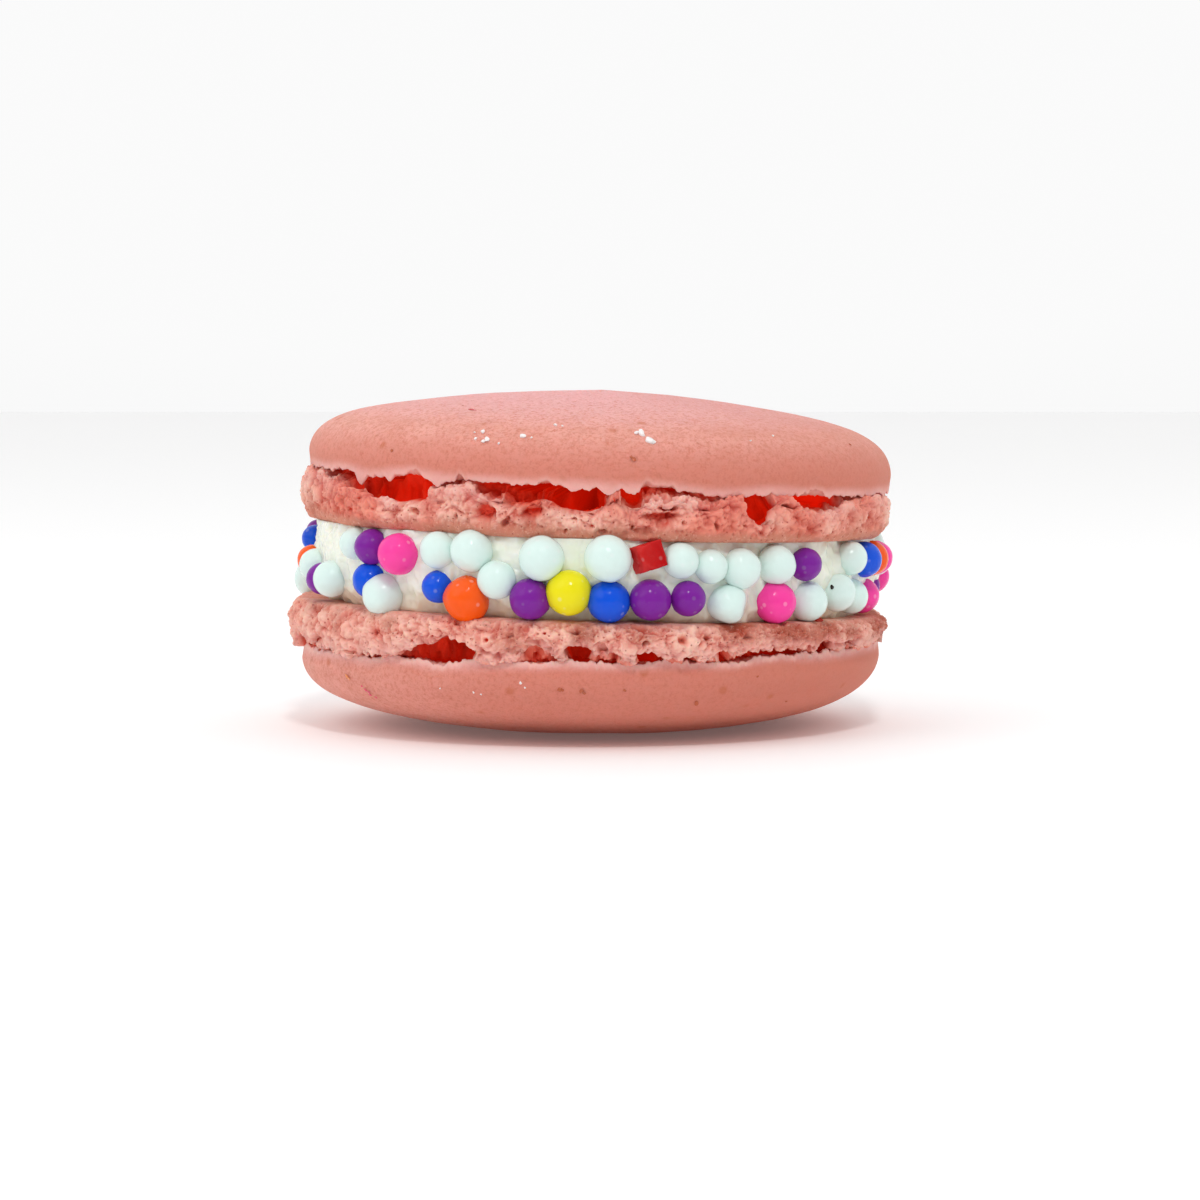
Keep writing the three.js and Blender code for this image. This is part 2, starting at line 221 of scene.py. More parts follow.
LOWER_HOLES = [
    (-64.6, 2.99, 0.85, 0.3, 0.8), (-39.5, 1.27, 0.34, 0.55, 0.5), (-52, 3.39, 0.7, 0.16, 0.5),
    (-44.3, 3.35, 0.77, 0.16, 0.6), (-25.9, 2.63, 1.85, 0.8, 2.2), (-31.6, 2.87, 1.9, 0.5, 1.2),
    (-19, 0.48, 0.44, 0.15, 0.4), (-14.2, 1.19, 0.46, 0.44, 0.45), (-9.9, 1.61, 0.98, 0.35, 0.4),
    (-12.1, 2.38, 1.45, 0.45, 0.35), (-12.5, 2.73, 0.22, 0.1, 0.8), (-10.2, 2.81, 0.24, 0.18, 0.8),
    (-2.3, 2.35, 0.83, 0.47, 1.6), (-3.5, 0.91, 0.4, 0.16, 0.4), (2, 1.91, 0.5, 0.64, 0.5),
    (4, 2.55, 0.5, 0.3, 1.2), (10.4, 2.65, 0.67, 0.5, 1.4), (9.9, 1.4, 0.3, 0.26, 0.8),
    (16.5, 1.1, 0.36, 0.3, 0.9), (21.5, 1.01, 0.4, 0.34, 0.9), (29.3, 1.11, 0.37, 0.26, 0.5),
    (18.4, 2.74, 0.55, 0.22, 1.2), (25.1, 2.39, 0.98, 0.26, 1.2), (31.6, 2.39, 0.62, 0.22, 1.3),
    (36.2, 2.31, 1.04, 0.3, 1.2), (45.1, 2.05, 1.1, 0.26, 1.2), (50, 1.98, 0.84, 0.48, 1.5),
    (56.6, 1.95, 1.67, 0.2, 0.9), (3.1, 0.41, 0.16, 0.18, 0.5), (6.6, 0.48, 0.18, 0.18, 0.5),
    (11.8, -0.01, 0.29, 0.14, 0.4), (37.7, 1.45, 0.2, 0.16, 0.4), (49.8, 0.03, 0.47, 0.35, 0.4),
]
# Soft hollows: the same five numbers, but the edge fades
UPPER_DIPS = [
    (-29.8, 2.3, 0.9, 0.4, 0.5), (-13.8, 3.05, 3.0, 1.6, 1.3), (-4.5, 2.85, 3.6, 1.1, 1.3),
    (4, 2.95, 2.4, 1.0, 1.0), (59.6, 2.95, 1.6, 0.8, 0.5), (7.6, 0.75, 1.3, 0.4, 0.5),
    (13, 2.3, 2.2, 1.0, 0.5),
]
LOWER_DIPS = [
    (44.9, 0.71, 0.7, 0.5, 0.3), (25.8, 0.08, 0.7, 0.4, 0.3), (33.9, 0.92, 1.1, 0.8, 0.3),
    (-12, 2.28, 2.4, 0.8, 0.3),
]

# %% [markdown]
# ### Tears round the back
#
# The back can't be seen, so a rule places its tears: each has a width, an opening and a depth
# drawn between two limits, and then comes a step to the next one. A second table would do as
# well, but the rule is shorter and says plainly what is guessed.

# %% Back tears
def draws_from(seed):
    """Endless chances from 0 to 1: each state is the last one times 16807, modulo 2147483647."""
    state = seed
    while True:
        state = state * 16807 % 2147483647
        yield state / 2147483647


def back_tears(seed):
    """Tears one after another from one bearing to the other, every size between two limits."""
    draws = draws_from(seed)
    between = lambda limits: limits[0] + (limits[1] - limits[0]) * next(draws)
    tears = []
    bearing = BACK_TEARS["from"]
    while bearing < BACK_TEARS["to"]:
        tears.append((bearing, *(between(BACK_TEARS[key]) for key in ("half", "opens", "deep"))))
        bearing += between(BACK_TEARS["step"])
    return tears


def turn_between(bearing, other):
    """The difference between two bearings in degrees, from -180 to 180."""
    return (bearing - other + 180) % 360 - 180


tears_of = {"upper": UPPER_TEARS + back_tears(UPPER["tear_draw"])}
tears_of["lower"] = LOWER_TEARS + back_tears(LOWER["tear_draw"])
print("tears:", {name: len(tears) for name, tears in tears_of.items()})
UPPER.update(tears=tears_of["upper"], slopes=UPPER_SLOPES, flaps=UPPER_FLAPS)
UPPER.update(holes=UPPER_HOLES, dips=UPPER_DIPS)
LOWER.update(tears=tears_of["lower"], slopes=LOWER_SLOPES, flaps=LOWER_FLAPS)
LOWER.update(holes=LOWER_HOLES, dips=LOWER_DIPS)

# %% [markdown]
# ## From rings to a mesh
#
# A section is a handful of control rings, each a radius and a height for every bearing. A cubic
# B-spline through them gives round, even rows with no corner. The rows and the bearings form a
# grid, and the grid is closed at both ends with a fan to a point on the axis. A subdivision
# surface could round a coarse cage as well, but a grid that is fine everywhere can also carry
# bubbles and torn edges, so the whole surface is computed.

# %% Grid helpers
def spline_rows(rings, counts):
    """Rows on a cubic B-spline: each blends four neighbouring rings, with the usual weights over 6."""
    rows = []
    for span, count in enumerate(counts):
        for t in np.arange(count) / count:
            middle = (3 * t**3 - 6 * t**2 + 4, 1 + 3 * t + 3 * t**2 - 3 * t**3)
            weights = np.array([(1 - t) ** 3, *middle, t**3]) / 6
            rows.append(np.tensordot(weights, rings[span : span + 4], axes=1))
    return np.stack(rows)


def columns_round(count, focus):
    """Bearings t - focus sin t: columns lie closer together at the front, where the details are."""
    t = 2 * np.pi * np.arange(count) / count
    return t - focus * np.sin(t)


def round_the_axis(angle, rows):
    """Points of rows of (radius, height): bearing 0 is the front, -Y, and bearings grow towards +X."""
    radius, height = rows[..., 0], rows[..., 1]
    return np.stack([radius * np.sin(angle), -radius * np.cos(angle), height], axis=-1)


def outward(points):
    """Unit normals of a grid that closes on itself sideways: across step cross up step."""
    across = np.roll(points, -1, axis=1) - np.roll(points, 1, axis=1)
    up = np.gradient(points, axis=0)
    normal = np.cross(across, up)
    return normal / np.maximum(np.linalg.norm(normal, axis=-1, keepdims=True), 1e-12)


def grid_faces(rows, columns, first=0):
    """Quads between neighbouring rows and columns of a grid that closes on itself sideways."""
    row, column = np.meshgrid(np.arange(rows - 1), np.arange(columns), indexing="ij")
    beside = (column + 1) % columns
    below, above = row * columns, (row + 1) * columns
    corners = (below + column, below + beside, above + beside, above + column)
    return first + np.stack(corners, axis=-1).reshape(-1, 4)


def fan_faces(columns, ring_start, pole, upwards):
    """Triangles from a ring to the point on the axis that closes it."""
    side = ring_start + np.arange(columns)
    beside = ring_start + (np.arange(columns) + 1) % columns
    ends = (side, beside) if upwards else (beside, side)
    return np.stack([*ends, np.full(columns, pole)], axis=-1)


def closed_faces(rows, columns, first=0):
    """All faces of a grid whose two poles follow its points: the quads and a fan at each end."""
    first_pole = first + rows * columns
    return [
        grid_faces(rows, columns, first),
        fan_faces(columns, first, first_pole, upwards=False),
        fan_faces(columns, first_pole - columns, first_pole + 1, upwards=True),
    ]


def make_mesh(name, points, faces, values=None):
    """A smooth mesh object from points in mm, arrays of faces, and named values, one for each point."""
    corners = np.concatenate([part.ravel() for part in faces]).astype(np.int32)
    sizes = np.concatenate([np.full(len(part), part.shape[1]) for part in faces])
    starts = (np.cumsum(sizes) - sizes).astype(np.int32)
    mesh = bpy.data.meshes.new(name)
    mesh.vertices.add(len(points))
    mesh.vertices.foreach_set("co", (points * MM).astype(np.float32).ravel())
    mesh.loops.add(len(corners))
    mesh.loops.foreach_set("vertex_index", corners)
    mesh.polygons.add(len(sizes))
    mesh.polygons.foreach_set("loop_start", starts)
    mesh.update(calc_edges=True)
    for key, value in (values or {}).items():
        layer = mesh.attributes.new(key, "FLOAT", "POINT")
        layer.data.foreach_set("value", np.asarray(value, dtype=np.float32).ravel())
    mesh.shade_smooth()
    thing = bpy.data.objects.new(name, mesh)
    bpy.context.scene.collection.objects.link(thing)
    print(name, "points", len(points), "triangles", int((sizes - 2).sum()))
    return thing


def closed_grid(name, grid, first_pole, last_pole, values):
    """A mesh from a grid of points and its two poles. The poles take the values of the rows beside them."""
    points = np.concatenate([grid.reshape(-1, 3), [first_pole, last_pole]])
    closed = {key: np.append(value.ravel(), [value[0, 0], value[-1, 0]]) for key, value in values.items()}
    return make_mesh(name, points, closed_faces(*grid.shape[:2]), closed)


print("a closed grid of 3 by 4 points has", sum(len(part) for part in closed_faces(3, 4)), "faces")

# %% [markdown]
# ## Putting a shell in its place
#
# Turning a grid is a small matrix product. The upper shell only tilts about the front-to-back
# axis. The lower one turns a half turn as well, and the table then presses a flat spot on it.

# %% Placing
def place_shell(shell, points):
    """Local points to the macaron's frame: turn about Y by the tilt, plus a half turn if turned over."""
    turn = shell["tilt"] + (math.pi if shell["turned"] < 0 else 0)
    x = points[..., 0] * math.cos(turn) + points[..., 2] * math.sin(turn)
    z = points[..., 2] * math.cos(turn) - points[..., 0] * math.sin(turn)
    placed = np.stack([x + shell["axis_x"], points[..., 1], np.maximum(z + shell["face"], 0)], axis=-1)
    return placed + CENTRE


print("middle of the upper face:", place_shell(UPPER, np.zeros(3)), "mm")

# %% [markdown]
# ## The edge between foot and dome
#
# Everything torn about a shell comes from a few curves round its edge: the height of the lip,
# how far the crease below it is open, and how deep the crease runs. They are worked out once for
# each bearing and used by the foot and by the dome, so that the two meet.

# %% Curves round the edge
# Radius of the ring, in mm, on which the noise of the edge is read
EDGE_RING = 24
# Width, length and seed of each size of tooth along the lip
LIP_TEETH = [(0.75, 0.26, 51), (0.38, 0.2, 53), (0.2, 0.1, 54)]


def edge_curves(shell, angle):
    """For each bearing in mm: the lip is a level plus waves, the edge hangs from it by its flaps and
    teeth, and the top of the foot lies below the lip by what the tears open."""
    bearing = shell["turned"] * np.degrees(angle)
    around = (EDGE_RING * np.sin(angle), -EDGE_RING * np.cos(angle), np.full_like(angle, shell["seed"]))
    ring = np.stack(around, axis=-1)
    opens = 0.04 + 0.16 * ramp(-0.3, 0.7, cloud(ring, 3.1, 41))
    deep = 0.5 + 0.4 * ramp(-0.6, 0.6, cloud(ring, 2.3, 43))
    for at, half_width, tear_opens, tear_deep in shell["tears"] + shell["slopes"]:
        share = bump(turn_between(bearing, at) / half_width)
        opens = opens + tear_opens * share
        deep = deep + tear_deep * share
    level = shell["lip"] + shell["lip_lean"] * np.sin(angle) * shell["dome_radius"]
    lip = level + LIP_WAVER * wave(angle, shell["seed"] + 5, 7, 16)
    teeth = sum(long * np.abs(cloud(ring, size, seed)) for size, long, seed in LIP_TEETH)
    ragged = 0.14 * cloud(ring, 1.3, 47) - teeth + 0.12
    for at, half_width, hangs in shell["flaps"]:
        ragged = ragged - hangs * bump(turn_between(bearing, at) / half_width)
    foot_top = lip - opens + 0.16 * cloud(ring, 0.9, 57) + 0.07 * cloud(ring, 0.35, 59)
    foot_top = np.minimum(foot_top, lip - 0.06)
    swell = FOOT_SWELL * wave(angle, shell["seed"], 4, 9)
    return {"lip": lip, "edge": lip + ragged, "foot_top": foot_top, "deep": deep, "swell": swell}


front = edge_curves(UPPER, np.linspace(-1, 1, 400))
print("widest tear in front:", round((front["lip"] - front["foot_top"]).max(), 2), "mm")

# %% [markdown]
# ## The foot
#
# The foot is the frilly band that rose under the dome: a firm, smoother base, then a mass of
# crumb full of burst bubbles. Its section bows out, folds over at the top and runs in under the
# lip to the back wall of the crease. The crumb is relief along the normals: large lumps, small
# knobs, bubbles of two sizes, and the listed holes.

# %% Foot sizes
FOOT_COLUMNS = 1320
FOOT_FOCUS = 0.42
FOOT_SPANS = [1, 2, 4, 7, 10, 11, 11, 10, 7, 6, 4, 2]
# Where both feet are drawn in at their right: bearing, half width in degrees, depth in mm
DRAWN_IN_AT, DRAWN_IN_HALF, DRAWN_IN = 92, 40, 0.35
# Width, height and seed of each size of lump in the crumb
CRUMB_LUMPS = [(1.5, 0.18, 71), (0.8, 0.16, 75), (0.44, 0.11, 77), (0.24, 0.08, 78)]


def foot_rows(shell, curves):
    """Control rings from the flat face round the rim, up the bowed face and into the crease."""
    inner = shell["foot_radius"] - shell["foot_draw"] + curves["swell"]
    ledge = shell["foot_radius"] - LEDGE_INSET + curves["swell"]
    top, lip, deep = curves["foot_top"], curves["lip"], curves["deep"]
    reach = max(shell["foot_widest"], 1 - shell["foot_widest"])

    def face(share):
        bow = shell["foot_draw"] * ((share - shell["foot_widest"]) / reach) ** 2
        return shell["foot_radius"] - bow + curves["swell"], share * top

    rings = [
        (inner - 3, 0 * top), (inner - 1.2, 0 * top), (inner - 0.4, 0 * top), (inner + 0.02, 0.1 + 0 * top),
        face(0.16), face(0.35), face(0.55), face(0.76), face(0.93),
        (ledge - 0.15, top + 0.04), (ledge - 0.4 * deep, top + 0.22 * (lip - top)),
        (ledge - 0.75 * deep, top + 0.5 * (lip - top)), (ledge - deep, top + 0.8 * (lip - top)),
        (ledge - deep - 0.1, lip + 0.1), (ledge - deep - 0.1, lip + 0.6),
    ]
    control = np.array([np.broadcast_arrays(*ring) for ring in rings]).transpose(0, 2, 1)
    return spline_rows(control, FOOT_SPANS)


print("rows in a foot's section:", sum(FOOT_SPANS))

# %% [markdown]
# ### The crumb of the foot
#
# Baked foam is a mass of round knobs with burst bubbles between them. Here it is one height for
# each point, and the surface moves out or in by it. That can't give a true overhang, but at
# this size steep relief reads as crumb. Carved bubbles would be slower, and the same height
# also steers painted light and shade: the tips are painted paler and the deep places a darker red.

# %% Crumb
def bubbles(points, size, seed, share, least, most):
    """Round dents on a share of the seeds, of radius least to most: 1 at the middle, 0 outside."""
    near, own = nearest_seed(points, size, seed)
    radius = least + (most - least) * np.clip((own - 1 + share) / share, 0, 1)
    return np.where(own > 1 - share, 1 - ramp(0.55, 1.0, near * size / radius), 0)


def crumb_relief(points):
    """Height of baked crumb in mm: round lumps of four sizes on scattered seeds, and fine grain."""
    drift = np.stack([cloud(points, 0.9, seed) for seed in (61, 62, 63)], axis=-1)
    drift = drift + 0.5 * np.stack([cloud(points, 0.35, seed) for seed in (64, 69, 70)], axis=-1)
    warped = points + 0.28 * drift
    height = 0.035 * cloud(points, 0.16, 79) + 0.12 * cloud(points, 2.6, 80)
    for size, rise, seed in CRUMB_LUMPS:
        height = height + rise * np.clip(1 - 2 * nearest_seed(warped, size, seed)[0] ** 2, -0.7, 1)
    return height


def placed_hollows(shell, hollows, steep, smooth):
    """Depth in mm of the listed hollows: ellipses whose outline wavers, steep-walled or soft."""
    bearing = shell["turned"] * np.degrees(np.arctan2(smooth[..., 0], -smooth[..., 1]))
    waver_across = 0.3 * cloud(smooth, 0.9, 65) + 0.16 * cloud(smooth, 0.35, 66)
    height = smooth[..., 2] + 0.24 * cloud(smooth, 0.9, 67) + 0.16 * cloud(smooth, 0.35, 68)
    depth = np.zeros(height.shape)
    for at, level, half_width, half_height, deep in hollows:
        across = np.radians(turn_between(bearing, at)) * shell["foot_radius"] + waver_across
        distance = np.hypot(across / half_width, (height - level) / half_height)
        depth = np.maximum(depth, deep * (1 - ramp(0.45, 1.2, distance) if steep else bump(0.8 * distance)))
    return depth


sample = crumb_relief(np.linspace(0, 20, 400)[:, None] * np.ones(3))
print("crumb from", sample.min().round(2), "to", sample.max().round(2), "mm")

# %% [markdown]
# ### The foot's surface
#
# Everything comes together here: the smooth section all round, the crumb, which fades out
# towards the firm base, the small pores, and the hollows from the tables. The values for the
# colours are worked out on the way and stay with the mesh.

# %% Feet
def make_foot(name, shell):
    """A foot: its section all round, moved along the normals by crumb - pores - holes - dips."""
    angle = columns_round(FOOT_COLUMNS, FOOT_FOCUS)
    curves = edge_curves(shell, angle)
    rows = foot_rows(shell, curves)
    smooth = round_the_axis(angle, rows)
    height = smooth[..., 2]
    share = height / curves["foot_top"]
    rough = ramp(shell["firm"], shell["firm"] + 0.22, share)
    noise_at = smooth + shell["seed"] * 10
    relief = crumb_relief(noise_at)
    relief = relief - relief.mean() - 0.06
    pores = 0.4 * bubbles(noise_at, 1.3, 81, 0.3, 0.1, 0.3)
    pores = pores + 0.18 * bubbles(noise_at, 0.42, 85, 0.6, 0.05, 0.14)
    holes = placed_hollows(shell, shell["holes"], True, smooth)
    dips = placed_hollows(shell, shell["dips"], False, smooth)
    crease = ramp(0.9, 1.1, share)
    lift = (0.3 + 0.7 * rough + 0.5 * crease) * relief - (0.4 + 0.6 * rough) * pores - holes - dips
    from_right = turn_between(shell["turned"] * np.degrees(angle), DRAWN_IN_AT)
    lift = lift - DRAWN_IN * bump(from_right / DRAWN_IN_HALF)
    lift = lift * ramp(-0.02, 0.12, height)
    grid = smooth + outward(smooth) * lift[..., None]
    # Values for the colours: red is painted shade that deepens with the depth below the outer hull
    # and in the pores, and the flush below adds patches of real red at random
    hull = shell["foot_radius"] - 0.3 + curves["swell"]
    inside = np.maximum(hull - np.hypot(grid[..., 0], grid[..., 1]), holes + dips)
    red = np.maximum(ramp(0.0, 2.4, inside), 0.7 * ramp(0.05, 0.4, pores)) * ramp(0.3, 0.6, height)
    # Toast: brown patches at random, and on the lower shell painted shade that grows to the right
    rightwards = -np.sin(angle) if shell["turned"] < 0 else 0 * angle
    toast = ramp(0.0, 0.8, cloud(noise_at, 2.4, 87) + 0.6 * rightwards)
    flush = shell["flush"] * ramp(-0.3, 0.5, cloud(noise_at, 3.2, 89)) * rough
    red = np.maximum(red, flush)
    values = {
        "red": red,
        # Painted glow: emission in the deepest tears
        "glow": red * shell["glow"],
        "toast": toast * (1 - ramp(0.55, 1.0, share)) * shell["toasted"],
        # Painted light on the tips of the crumb and painted shade in its valleys
        "tip": 0.7 + rough * (ramp(-0.48, 0.2, relief) - 0.7),
        "base": (1 - ramp(shell["firm"] + 0.05, shell["firm"] + 0.35, share)) * shell["tan"],
        "skirt": 0.5 * ramp(0.45, 1.0, share),
        "teeth": np.zeros_like(share),
        "foot": np.ones_like(share),
    }
    top = curves["lip"].mean() + 0.6
    poles = place_shell(shell, np.array([[0, 0, 0], [0, 0, top]]))
    return closed_grid(name, place_shell(shell, grid), *poles, values)


upper_foot = make_foot("upper_foot", UPPER)
lower_foot = make_foot("lower_foot", LOWER)

# %% [markdown]
# ## The dome
#
# The dome is the skin that dried before baking. It is smooth, a little wavy, and ends in a
# ragged skirt, a paler band above the torn edge. Its section starts under the lip, turns round
# the thin edge and rises as 1 - (r / R) squared to a small power, which gives a steep side and
# a broad flat top.

# %% Dome
DOME_COLUMNS = 1300
DOME_FOCUS = 0.35
DOME_SHARES = [0.9975, 0.99, 0.975, 0.95, 0.91, 0.86, 0.8, 0.72, 0.62, 0.5, 0.37, 0.23, 0.1, 0.03]
DOME_SPANS = [2, 4, 4, 3, 3, 3, 4, 5, 5] + [5, 5, 4, 4, 3, 3, 3, 2, 2, 2, 2, 1]


def dome_rise(shell, share):
    """Height over the lip as a share of the dome's: (1 - s2) to the power 1 / p, hollowed near the top."""
    left = 1 - share * share
    return left ** (1 / shell["power"]) - shell["peak"] * share * share * left * left


def dome_rows(shell, angle, curves):
    """Control rings from under the lip, round its edge, up the skirt and over the dome."""
    radius, lip, edge = shell["dome_radius"], curves["lip"], curves["edge"]
    upper = np.maximum(lip, edge)
    rings = [
        (radius - 4.5, lip + 0.45), (radius - 3.2, lip + 0.4), (radius - 2, lip + 0.3),
        (radius - 1.1, lip + 0.2), (radius - 0.6, 0.5 * (lip + edge) + 0.1),
        (radius - 0.42, edge + 0.02), (radius - 0.34, edge - 0.02), (radius - 0.27, edge + 0.03),
        (radius - 0.22, edge + 0.22), (radius - 0.16, upper + 0.5), (radius - 0.12, upper + 0.85),
    ]
    for share in DOME_SHARES:
        across = share * radius * np.sin(angle)
        over = (shell["dome"] + shell["dome_lean"] * across) * dome_rise(shell, share)
        rings.append((share * radius, shell["lip"] + shell["lip_lean"] * across + over))
    spans = DOME_SPANS + [1] * (len(rings) - 3 - len(DOME_SPANS))
    control = np.array([np.broadcast_arrays(*ring) for ring in rings]).transpose(0, 2, 1)
    return spline_rows(control, spans)


print("shares of the dome's height, inwards:", [round(dome_rise(UPPER, s), 2) for s in DOME_SHARES])

# %% [markdown]
# ### The dome's surface
#
# The skin only needs gentle waves and a few pinholes. Its underside, which shows inside the
# tears, takes the same crumb as the foot, so that no smooth sheet hangs over them.

# %% Domes
def make_dome(name, shell):
    """A dome: its section all round, moved along the normals by gentle waves, crumb underneath."""
    angle = columns_round(DOME_COLUMNS, DOME_FOCUS)
    curves = edge_curves(shell, angle)
    rows = dome_rows(shell, angle, curves)
    smooth = round_the_axis(angle, rows)
    below = sum(DOME_SPANS[:3])
    row = np.arange(len(rows))[:, None]
    under = 1 - ramp(below - 4, below + 2, row) * np.ones_like(smooth[..., 2])
    over_edge = smooth[..., 2] - curves["edge"]
    skirt = (1 - ramp(-0.1, 0.9, smooth[..., 2] - curves["lip"])) * (1 - under)
    noise_at = smooth + shell["seed"] * 10
    gentle = 0.05 * cloud(noise_at, 5.5, 91) + 0.02 * cloud(noise_at, 1.6, 93)
    pinched = 0.03 * cloud(noise_at * np.array([1, 1, 0.3]), 0.5, 95) + 0.03 * cloud(noise_at, 0.3, 97)
    pores = bubbles(noise_at, 2.2, 101, 0.35, 0.07, 0.14)
    lift = gentle + skirt * pinched + under * 0.8 * crumb_relief(noise_at) - 0.05 * (1 - under) * pores
    grid = smooth + outward(smooth) * lift[..., None]
    # Values for the colours: red is painted shade under the lip, painted shade grows to the right,
    # and by height the sides get painted shade and the top a pinker colour, partly painted sheen,
    # with painted light on the left; skirt by the edge
    inside = shell["dome_radius"] - 0.35 - np.hypot(grid[..., 0], grid[..., 1])
    rightwards = shell["turned"] * np.sin(angle) + np.zeros_like(skirt)
    risen = ramp(*shell["crown"], (smooth[..., 2] - shell["lip"]) / shell["dome"])
    crown = risen + shell["left_light"] * ramp(0.1, 0.9, -rightwards)
    values = {
        "red": under * ramp(0.3, 2.2, inside),
        "glow": under * ramp(0.3, 2.2, inside) * shell["glow"],
        "toast": shell["browned"] * ramp(0.0, 1.0, rightwards) * (1 - under),
        "foot": under,
        "tip": np.full_like(skirt, 0.6),
        "crown": crown * (1 - under),
        "base": np.zeros_like(skirt),
        "skirt": skirt,
        "teeth": (1 - ramp(0.0, 0.6, over_edge)) * (1 - under) * (1.0 if shell["turned"] < 0 else 0.35),
    }
    poles = np.array([[0, 0, curves["lip"].mean() + 0.45], [0, 0, shell["lip"] + shell["dome"]]])
    return closed_grid(name, place_shell(shell, grid), *place_shell(shell, poles), values)


upper_dome = make_dome("upper_dome", UPPER)
lower_dome = make_dome("lower_dome", LOWER)

# %% [markdown]
# ## The pearls
#
# The edge of the cream was rolled in sugar pearls. At the front they lie where they do on the
# real one, by bearing, height and diameter. Round the back they go on in two uneven rows. A
# pearl is a round grid whose radius varies by a few hundredths, since sugar pearls are built up
# in a tumbling pan and are never quite round. One mesh holds all pearls of one colour.

# %% Pearl places
# The cream's edge in mm: its radius, its bulge at mid height, how far it draws in low down, and
# the height of its slow waves
CREAM_RADIUS = 22.15
CREAM_BULGE = 0.25
CREAM_FOOT_INSET = 0.9
CREAM_WAVER = 0.18
CREAM_SEED = 4.3
# How far a pearl's middle stands out of the cream, as a share of the pearl's own radius
PEARL_STAND_OUT = 0.42
# How round a shell's rim is, and how far a pearl may press into it, in mm
RIM_ROUND = 0.6
RIM_LAP = 0.62
# How much deeper the pearls lie at the far left and at the far right, in mm
LEFT_SUNK = 0.7
RIGHT_SUNK = 0.35
# Bearing, height above the table, diameter, colour
FRONT_PEARLS = [
    (-101, 15.0, 2.0, "purple"), (-96, 14.6, 2.1, "blue"), (-84, 13.1, 2.4, "orange"),
    (-74, 12.9, 2.55, "white"), (-68, 12.0, 2.4, "purple"), (-61.5, 12.15, 2.75, "white"),
    (-53, 15.0, 2.4, "white"), (-47, 14.85, 2.65, "purple"), (-39, 14.45, 3.05, "pink"),
    (-47.5, 12.3, 2.7, "blue"), (-44, 11.25, 3.2, "white"), (-30, 14.85, 2.7, "white"),
    (-30.2, 12.1, 2.35, "blue"), (-23, 14.85, 3.1, "white"), (-24, 11.2, 3.4, "orange"),
    (-17.8, 12.75, 2.8, "white"), (-9.2, 14.4, 3.3, "white"), (-11.5, 11.35, 3.0, "purple"),
    (-4.2, 11.85, 3.25, "yellow"), (3, 14.4, 3.4, "white"), (3.2, 11.2, 3.1, "blue"),
    (10.3, 14.5, 2.55, "red"), (11, 11.3, 3.0, "purple"), (16.8, 14.2, 2.65, "white"),
    (18.2, 11.35, 2.55, "purple"), (22.8, 13.7, 2.5, "white"), (26.5, 10.85, 2.85, "white"),
    (29.2, 13.5, 2.9, "white"), (37.5, 13.65, 2.9, "white"), (37.8, 10.8, 3.1, "pink"),
    (45.5, 13.55, 2.45, "purple"), (47.2, 10.7, 3.0, "white"), (56.8, 11.2, 2.85, "white"),
    (64, 10.75, 2.65, "white"), (60.5, 13.75, 2.5, "white"), (68, 13.5, 2.7, "blue"),
    (76, 13.45, 2.7, "orange"), (84.5, 13.3, 2.6, "pink"), (91, 12.9, 2.3, "white"),
    (97, 14.0, 2.2, "white"), (72, 10.6, 2.65, "pink"), (88, 11.0, 2.0, "purple"),
]
# Height, first bearing, last bearing, step
BACK_ROWS = [(13.9, 104, 252, 7.4), (11.35, 96, 262, 7.2)]
# Each colour, and the share of draws up to which it is taken
BACK_COLOURS = [
    ("white", 0.5), ("purple", 0.69), ("blue", 0.8), ("pink", 0.9), ("orange", 0.98), ("yellow", 1.0),
]
COLOUR_DRAW = 77


def back_pearls():
    """Two rows by rule: place and size draw from the solids' seed, the colour from a seed of its own."""
    draws, colours = draws_from(5), draws_from(COLOUR_DRAW)
    pearls = []
    for height, first, last, step in BACK_ROWS:
        for bearing in np.arange(first, last + 1e-9, step):
            jittered, raised = bearing + 1.6 * (next(draws) - 0.5), height + 0.5 * (next(draws) - 0.5)
            size, drawn = 2.25 + next(draws), next(colours)
            colour = next(colour for colour, limit in BACK_COLOURS if drawn <= limit)
            pearls.append((jittered, raised, size, colour))
    return pearls


print("pearls in front:", len(FRONT_PEARLS), "and behind:", len(back_pearls()))

# %% [markdown]
# ### Pressed in, but clear of the shells
#
# A pearl is pressed into the cream by a little less than a third of its width. Where that would
# push it into a shell, it moves straight away from the shell's rounded rim until it only dents
# it a little. It takes three rounds, since moving off one rim can bring it near the other.

# %% Pressed pearls
def face_height(shell, x):
    """Height of a shell's flat face above the table at a place across the macaron."""
    return shell["face"] - (x - shell["axis_x"]) * math.tan(shell["tilt"])


def cream_radius(angle, share):
    """The cream's edge: a bulge at mid height, drawn in low down, with slow waves round it."""
    inset = CREAM_FOOT_INSET * (1 - share) ** 4
    wavy = CREAM_WAVER * wave(angle + 0.5 * share, CREAM_SEED, 3, 10)
    return CREAM_RADIUS + CREAM_BULGE * np.sin(np.pi * share) - inset + wavy


def clear_of_rim(pearl, shell, side):
    """Moves a pearl away from the middle of a shell's rounded rim until it only dents it a little."""
    own_angle = shell["turned"] * pearl["angle"]
    swell = FOOT_SWELL * wave(np.array(own_angle), shell["seed"], 4, 9)
    rim = shell["foot_radius"] - shell["foot_draw"] + swell
    face = face_height(shell, pearl["radius"] * math.sin(pearl["angle"]))
    out = max(pearl["radius"] - (rim - RIM_ROUND), 0)
    away = max(side * (face - pearl["height"]) + RIM_ROUND, 0)
    reach = math.hypot(out, away)
    lacking = pearl["size"] / 2 + RIM_ROUND - RIM_LAP - reach
    if lacking > 0:
        pearl["radius"] += lacking * out / reach
        pearl["height"] -= side * lacking * away / reach


